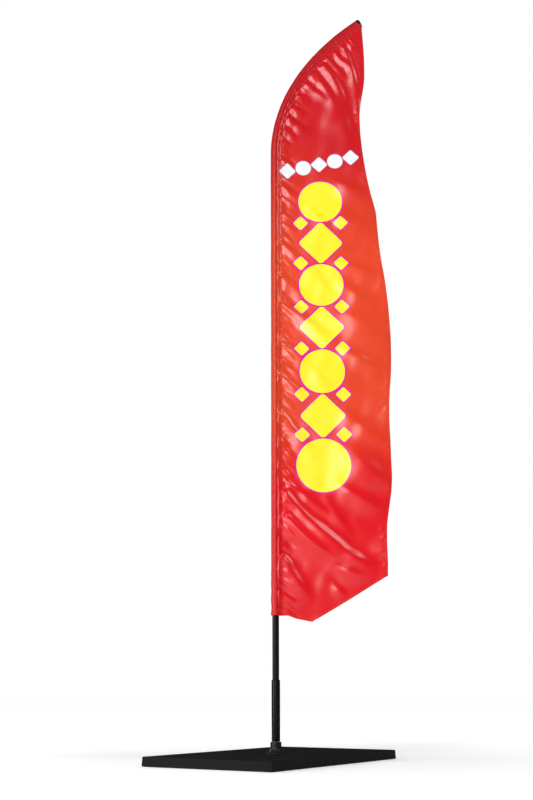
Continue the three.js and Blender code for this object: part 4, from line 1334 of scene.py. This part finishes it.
def foot_line(inset=0.0, count=150):
    """Points along the lower edge, and the direction into the cloth."""
    across = np.linspace(SEAM + 1.0, free_across(509.0) - 1.0, count)
    edge = np.stack([across, lower_height(across)], axis=-1)
    inward = square_to(edge)
    inward *= np.where(inward[:, 1:] < 0, -1.0, 1.0)
    return edge + inward * inset, inward


class FLAG_OT_hems(bpy.types.Operator):
    """Folded hems along the free edge and the lower edge"""

    bl_idname = "flag.hems"
    bl_label = "Hems"

    def execute(self, context):
        cloth = context.scene.flag_cloth
        satin = "Hem satin"
        trailing = hem_strip("flag_trailing_hem", *free_line(), cloth)
        finish_piece(trailing, "pole", satin, "flag_cloth", "trailing_hem")
        lower = hem_strip("flag_lower_hem", *foot_line(), cloth)
        finish_piece(lower, "pole", satin, "flag_cloth", "lower_hem")
        return {"FINISHED"}


def stitches_tree():
    """Geometry nodes that lay stitches end to end along the edges of a mesh line."""
    tree, start, end = new_group(
        "Stitch Line",
        [("Geometry", "Geometry", None), ("Stitch Pitch", "Float", None),
         ("Stitch Length", "Float", None), ("Thread Width", "Float", None),
         ("Thread", "Material", None)],
        [("Geometry", "Geometry")], "GeometryNodeTree")
    line = add(tree, "GeometryNodeMeshToCurve", {0: start.outputs["Geometry"]})
    spaced = add(tree, "GeometryNodeResampleCurve", {
        "Curve": line.outputs[0], "Length": start.outputs["Stitch Pitch"]}, mode="LENGTH")
    thread = add(tree, "GeometryNodeMeshUVSphere", {"Segments": 6, "Rings": 4, "Radius": 0.5})
    size = add(tree, "ShaderNodeCombineXYZ", {
        0: start.outputs["Stitch Length"], 1: start.outputs["Thread Width"],
        2: start.outputs["Thread Width"]})
    tangent = add(tree, "GeometryNodeInputTangent")
    aligned = add(tree, "FunctionNodeAlignRotationToVector", {
        "Vector": tangent.outputs[0]}, axis="X")
    placed = add(tree, "GeometryNodeInstanceOnPoints", {
        "Points": spaced.outputs[0], "Instance": thread.outputs["Mesh"],
        "Rotation": aligned.outputs[0], "Scale": size.outputs[0]})
    real = add(tree, "GeometryNodeRealizeInstances", {0: placed.outputs[0]})
    finished = add(tree, "GeometryNodeSetMaterial", {
        "Geometry": real.outputs[0], "Material": start.outputs["Thread"]})
    tree.links.new(finished.outputs[0], end.inputs[0])
    return tree


def seam_path(offset, rise, cloth):
    """A line beside the sleeve's seam, on the front of the panel or behind it."""
    along = np.linspace(SLEEVE_FOOT - BEND_START + 6, SLEEVE_END - 8, 700)
    across, height = beside_pole(along, offset)
    return np.stack([across, cloth_depth(across, height, cloth) + rise, height], axis=-1)


class FLAG_OT_stitches(bpy.types.Operator):
    """Rows of stitches along the sleeve's seams and both hems"""

    bl_idname = "flag.stitches"
    bl_label = "Stitches"

    def execute(self, context):
        cloth = context.scene.flag_cloth
        face = cloth.thickness / MM / 2 + 0.1
        lines = [seam_path(SEAM + 2.2, -face, cloth),
                 seam_path(BACK_SEAM + 2.2, face + 0.85, cloth)]
        for edge, _ in (free_line(6.2), foot_line(6.2)):
            depth = cloth_depth(edge[:, 0], edge[:, 1], cloth)
            for rise in (-HEM_PROUD - 0.1, HEM_PROUD + 0.1):
                lines.append(np.stack([edge[:, 0], depth + rise, edge[:, 1]], axis=-1))
        points, edges = [], []
        for line in lines:
            first = len(points)
            points += [tuple(p) for p in line * MM]
            edges += [(i, i + 1) for i in range(first, len(points) - 1)]
        mesh = bpy.data.meshes.new("flag_stitches")
        mesh.from_pydata(points, edges, [])
        piece = bpy.data.objects.new("flag_stitches", mesh)
        context.scene.collection.objects.link(piece)
        run_tree(piece, stitches_tree(), {
            "Stitch Pitch": cloth.stitch_pitch, "Stitch Length": cloth.stitch_length,
            "Thread Width": cloth.thread_width, "Thread": bpy.data.materials["Sewing thread"]})
        piece.data.shade_smooth()
        finish_piece(piece, "pole", "Sewing thread", "flag_cloth")
        return {"FINISHED"}


class FLAG_OT_declare_cloth(bpy.types.Operator):
    """Step for the sizes of the cloth sheets; it makes and changes nothing"""

    bl_idname = "flag.declare_cloth"
    bl_label = "Cloth sizes"

    def execute(self, context):
        # The panel's flat size is that of its outline, laid out without its folds.
        return {"FINISHED"}


# ---- Studio ----
def soft_light(name, place, target, width, height, power):
    data = bpy.data.lights.new(name, "AREA")
    data.shape = "RECTANGLE"
    data.size, data.size_y = width, height
    data.energy = power
    light = bpy.data.objects.new(name, data)
    bpy.context.scene.collection.objects.link(light)
    light.visible_camera = False
    light.location = place
    light.rotation_mode = "QUATERNION"
    light.rotation_quaternion = (Vector(target) - Vector(place)).to_track_quat("-Z", "Y")
    return light


class FLAG_OT_studio(bpy.types.Operator):
    """Pale floor, soft lights, even surroundings and the camera"""

    bl_idname = "flag.studio"
    bl_label = "Studio"

    def execute(self, context):
        scene, studio = context.scene, context.scene.flag_studio
        camera = bpy.data.objects.new("Camera", bpy.data.cameras.new("Camera"))
        scene.collection.objects.link(camera)
        camera.data.lens = studio.lens
        camera.data.sensor_width = 36.0
        camera.data.clip_end = 200.0
        tilt, turn = studio.camera_tilt, studio.camera_turn
        ahead = Vector((math.sin(turn) * math.cos(tilt), math.cos(turn) * math.cos(tilt),
                        math.sin(tilt)))
        camera.location = (0.0, -studio.camera_distance, studio.camera_height)
        camera.rotation_mode = "QUATERNION"
        camera.rotation_quaternion = ahead.to_track_quat("-Z", "Y")
        scene.camera = camera
        # Floor: a wide disc just under the mat.
        radius, rings, sides = 60.0, 6, 64
        loops = [[(radius * k / rings * math.cos(2 * math.pi * i / sides),
                   radius * k / rings * math.sin(2 * math.pi * i / sides), -0.0004)
                  for i in range(sides)] for k in range(1, rings + 1)]
        faces = [f[::-1] for f in skin(loops)] + [tuple(range(sides))]
        floor = mesh_piece("studio_floor", [p for loop in loops for p in loop], faces)
        material, tree, shader = new_material("Studio floor", Roughness=0.9,
                                              **{"Emission Strength": 0.66})
        # The camera sees the far floor as bright as the background, so that no horizon shows.
        seen = add(tree, "ShaderNodeLightPath").outputs["Is Camera Ray"]
        shader.inputs["Specular IOR Level"].default_value = 0.1
        place = add(tree, "ShaderNodeTexCoord").outputs["Object"]
        away = add(tree, "ShaderNodeVectorMath", {0: place}, operation="LENGTH").outputs["Value"]
        far = add(tree, "ShaderNodeMapRange", {"Value": away, "From Min": 0.5, "From Max": 2.2,
                                               "To Min": 0.36, "To Max": 1.0}).outputs[0]
        tree.links.new(calc(tree, "MULTIPLY", seen, far), shader.inputs["Emission Color"])
        cloud = add(tree, "ShaderNodeTexNoise", {"Vector": place, "Scale": 0.8})
        tint = tuple(studio.floor_colour)
        tree.links.new(blend_colours(tree, cloud.outputs["Fac"], tint,
                                     tuple(min(1.0, c * 1.01) for c in tint[:3]) + (1.0,)),
                       shader.inputs["Base Color"])
        floor.data.materials.append(material)
        middle = (0.12, 0.0, 1.3)
        soft_light("Key light", (-1.05, -3.4, 2.1), (0.12, 0.0, 1.5), 0.9, 3.2, studio.key_power)
        soft_light("Side light", (2.6, -1.3, 3.4), middle, 1.2, 1.6, studio.side_power)
        soft_light("Low light", (-3.3, -1.4, 0.6), (0.0, 0.0, 0.1), 0.9, 1.0,
                   studio.side_power * 1.6)
        soft_light("Back light", (-3.0, 2.6, 2.0), middle, 1.2, 2.0, studio.side_power)
        world = bpy.data.worlds.new("Studio")
        scene.world = world
        world.use_nodes = True
        tree = world.node_tree
        tree.nodes.clear()
        # Bright behind the object, but dim in its reflections, so that the folds keep their depth.
        path = add(tree, "ShaderNodeLightPath")
        room = studio.room_light
        strength = calc(tree, "MULTIPLY_ADD", path.outputs["Is Glossy Ray"], 0.06 - room, room)
        strength = calc(tree, "MAXIMUM", strength, path.outputs["Is Camera Ray"])
        shade = add(tree, "ShaderNodeBackground", {"Color": (1.0, 1.0, 1.0, 1.0),
                                                   "Strength": strength})
        output = add(tree, "ShaderNodeOutputWorld")
        tree.links.new(shade.outputs[0], output.inputs["Surface"])
        scene.view_settings.view_transform = "Standard"
        return {"FINISHED"}


STEPS = (FLAG_OT_base_cover, FLAG_OT_cover_screws, FLAG_OT_base_inside, FLAG_OT_spindle_boss,
         FLAG_OT_rotor, FLAG_OT_pole, FLAG_OT_tip_cap, FLAG_OT_sleeve, FLAG_OT_panel,
         FLAG_OT_hems, FLAG_OT_stitches, FLAG_OT_declare_cloth, FLAG_OT_studio)


class FLAG_PT_builder(bpy.types.Panel):
    """Sizes and colours of the flag, and a button for each group of pieces"""

    bl_idname = "FLAG_PT_builder"
    bl_label = "Feather flag"
    bl_space_type = "VIEW_3D"
    bl_region_type = "UI"
    bl_category = "Flag"

    def draw(self, context):
        for title, name in SETTINGS:
            box = self.layout.box()
            box.label(text=title)
            group = getattr(context.scene, name)
            for key in group.bl_rna.properties.keys():
                if key not in ("rna_type", "name"):
                    box.prop(group, key)
        for step in STEPS:
            self.layout.operator(step.bl_idname)


SETTINGS = (("Base", "flag_base"), ("Pole", "flag_pole"), ("Cloth", "flag_cloth"),
            ("Print", "flag_print"), ("Studio", "flag_studio"))
GROUPS = (FlagBaseSettings, FlagPoleSettings, FlagClothSettings, FlagPrintSettings,
          FlagStudioSettings)


def register():
    for kind in (*GROUPS, *STEPS, FLAG_PT_builder):
        bpy.utils.register_class(kind)
    for (_, name), kind in zip(SETTINGS, GROUPS):
        setattr(bpy.types.Scene, name, PointerProperty(type=kind))


def unregister():
    for _, name in SETTINGS:
        delattr(bpy.types.Scene, name)
    for kind in reversed((*GROUPS, *STEPS, FLAG_PT_builder)):
        bpy.utils.unregister_class(kind)


def corners(box):
    return [list(corner) for corner in box]


def main():
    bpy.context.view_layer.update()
    register()
    make_materials(bpy.context.scene)
    for step in STEPS:
        group, name = step.bl_idname.split(".")
        getattr(getattr(bpy.ops, group), name)()


if __name__ == "__main__":
    main()
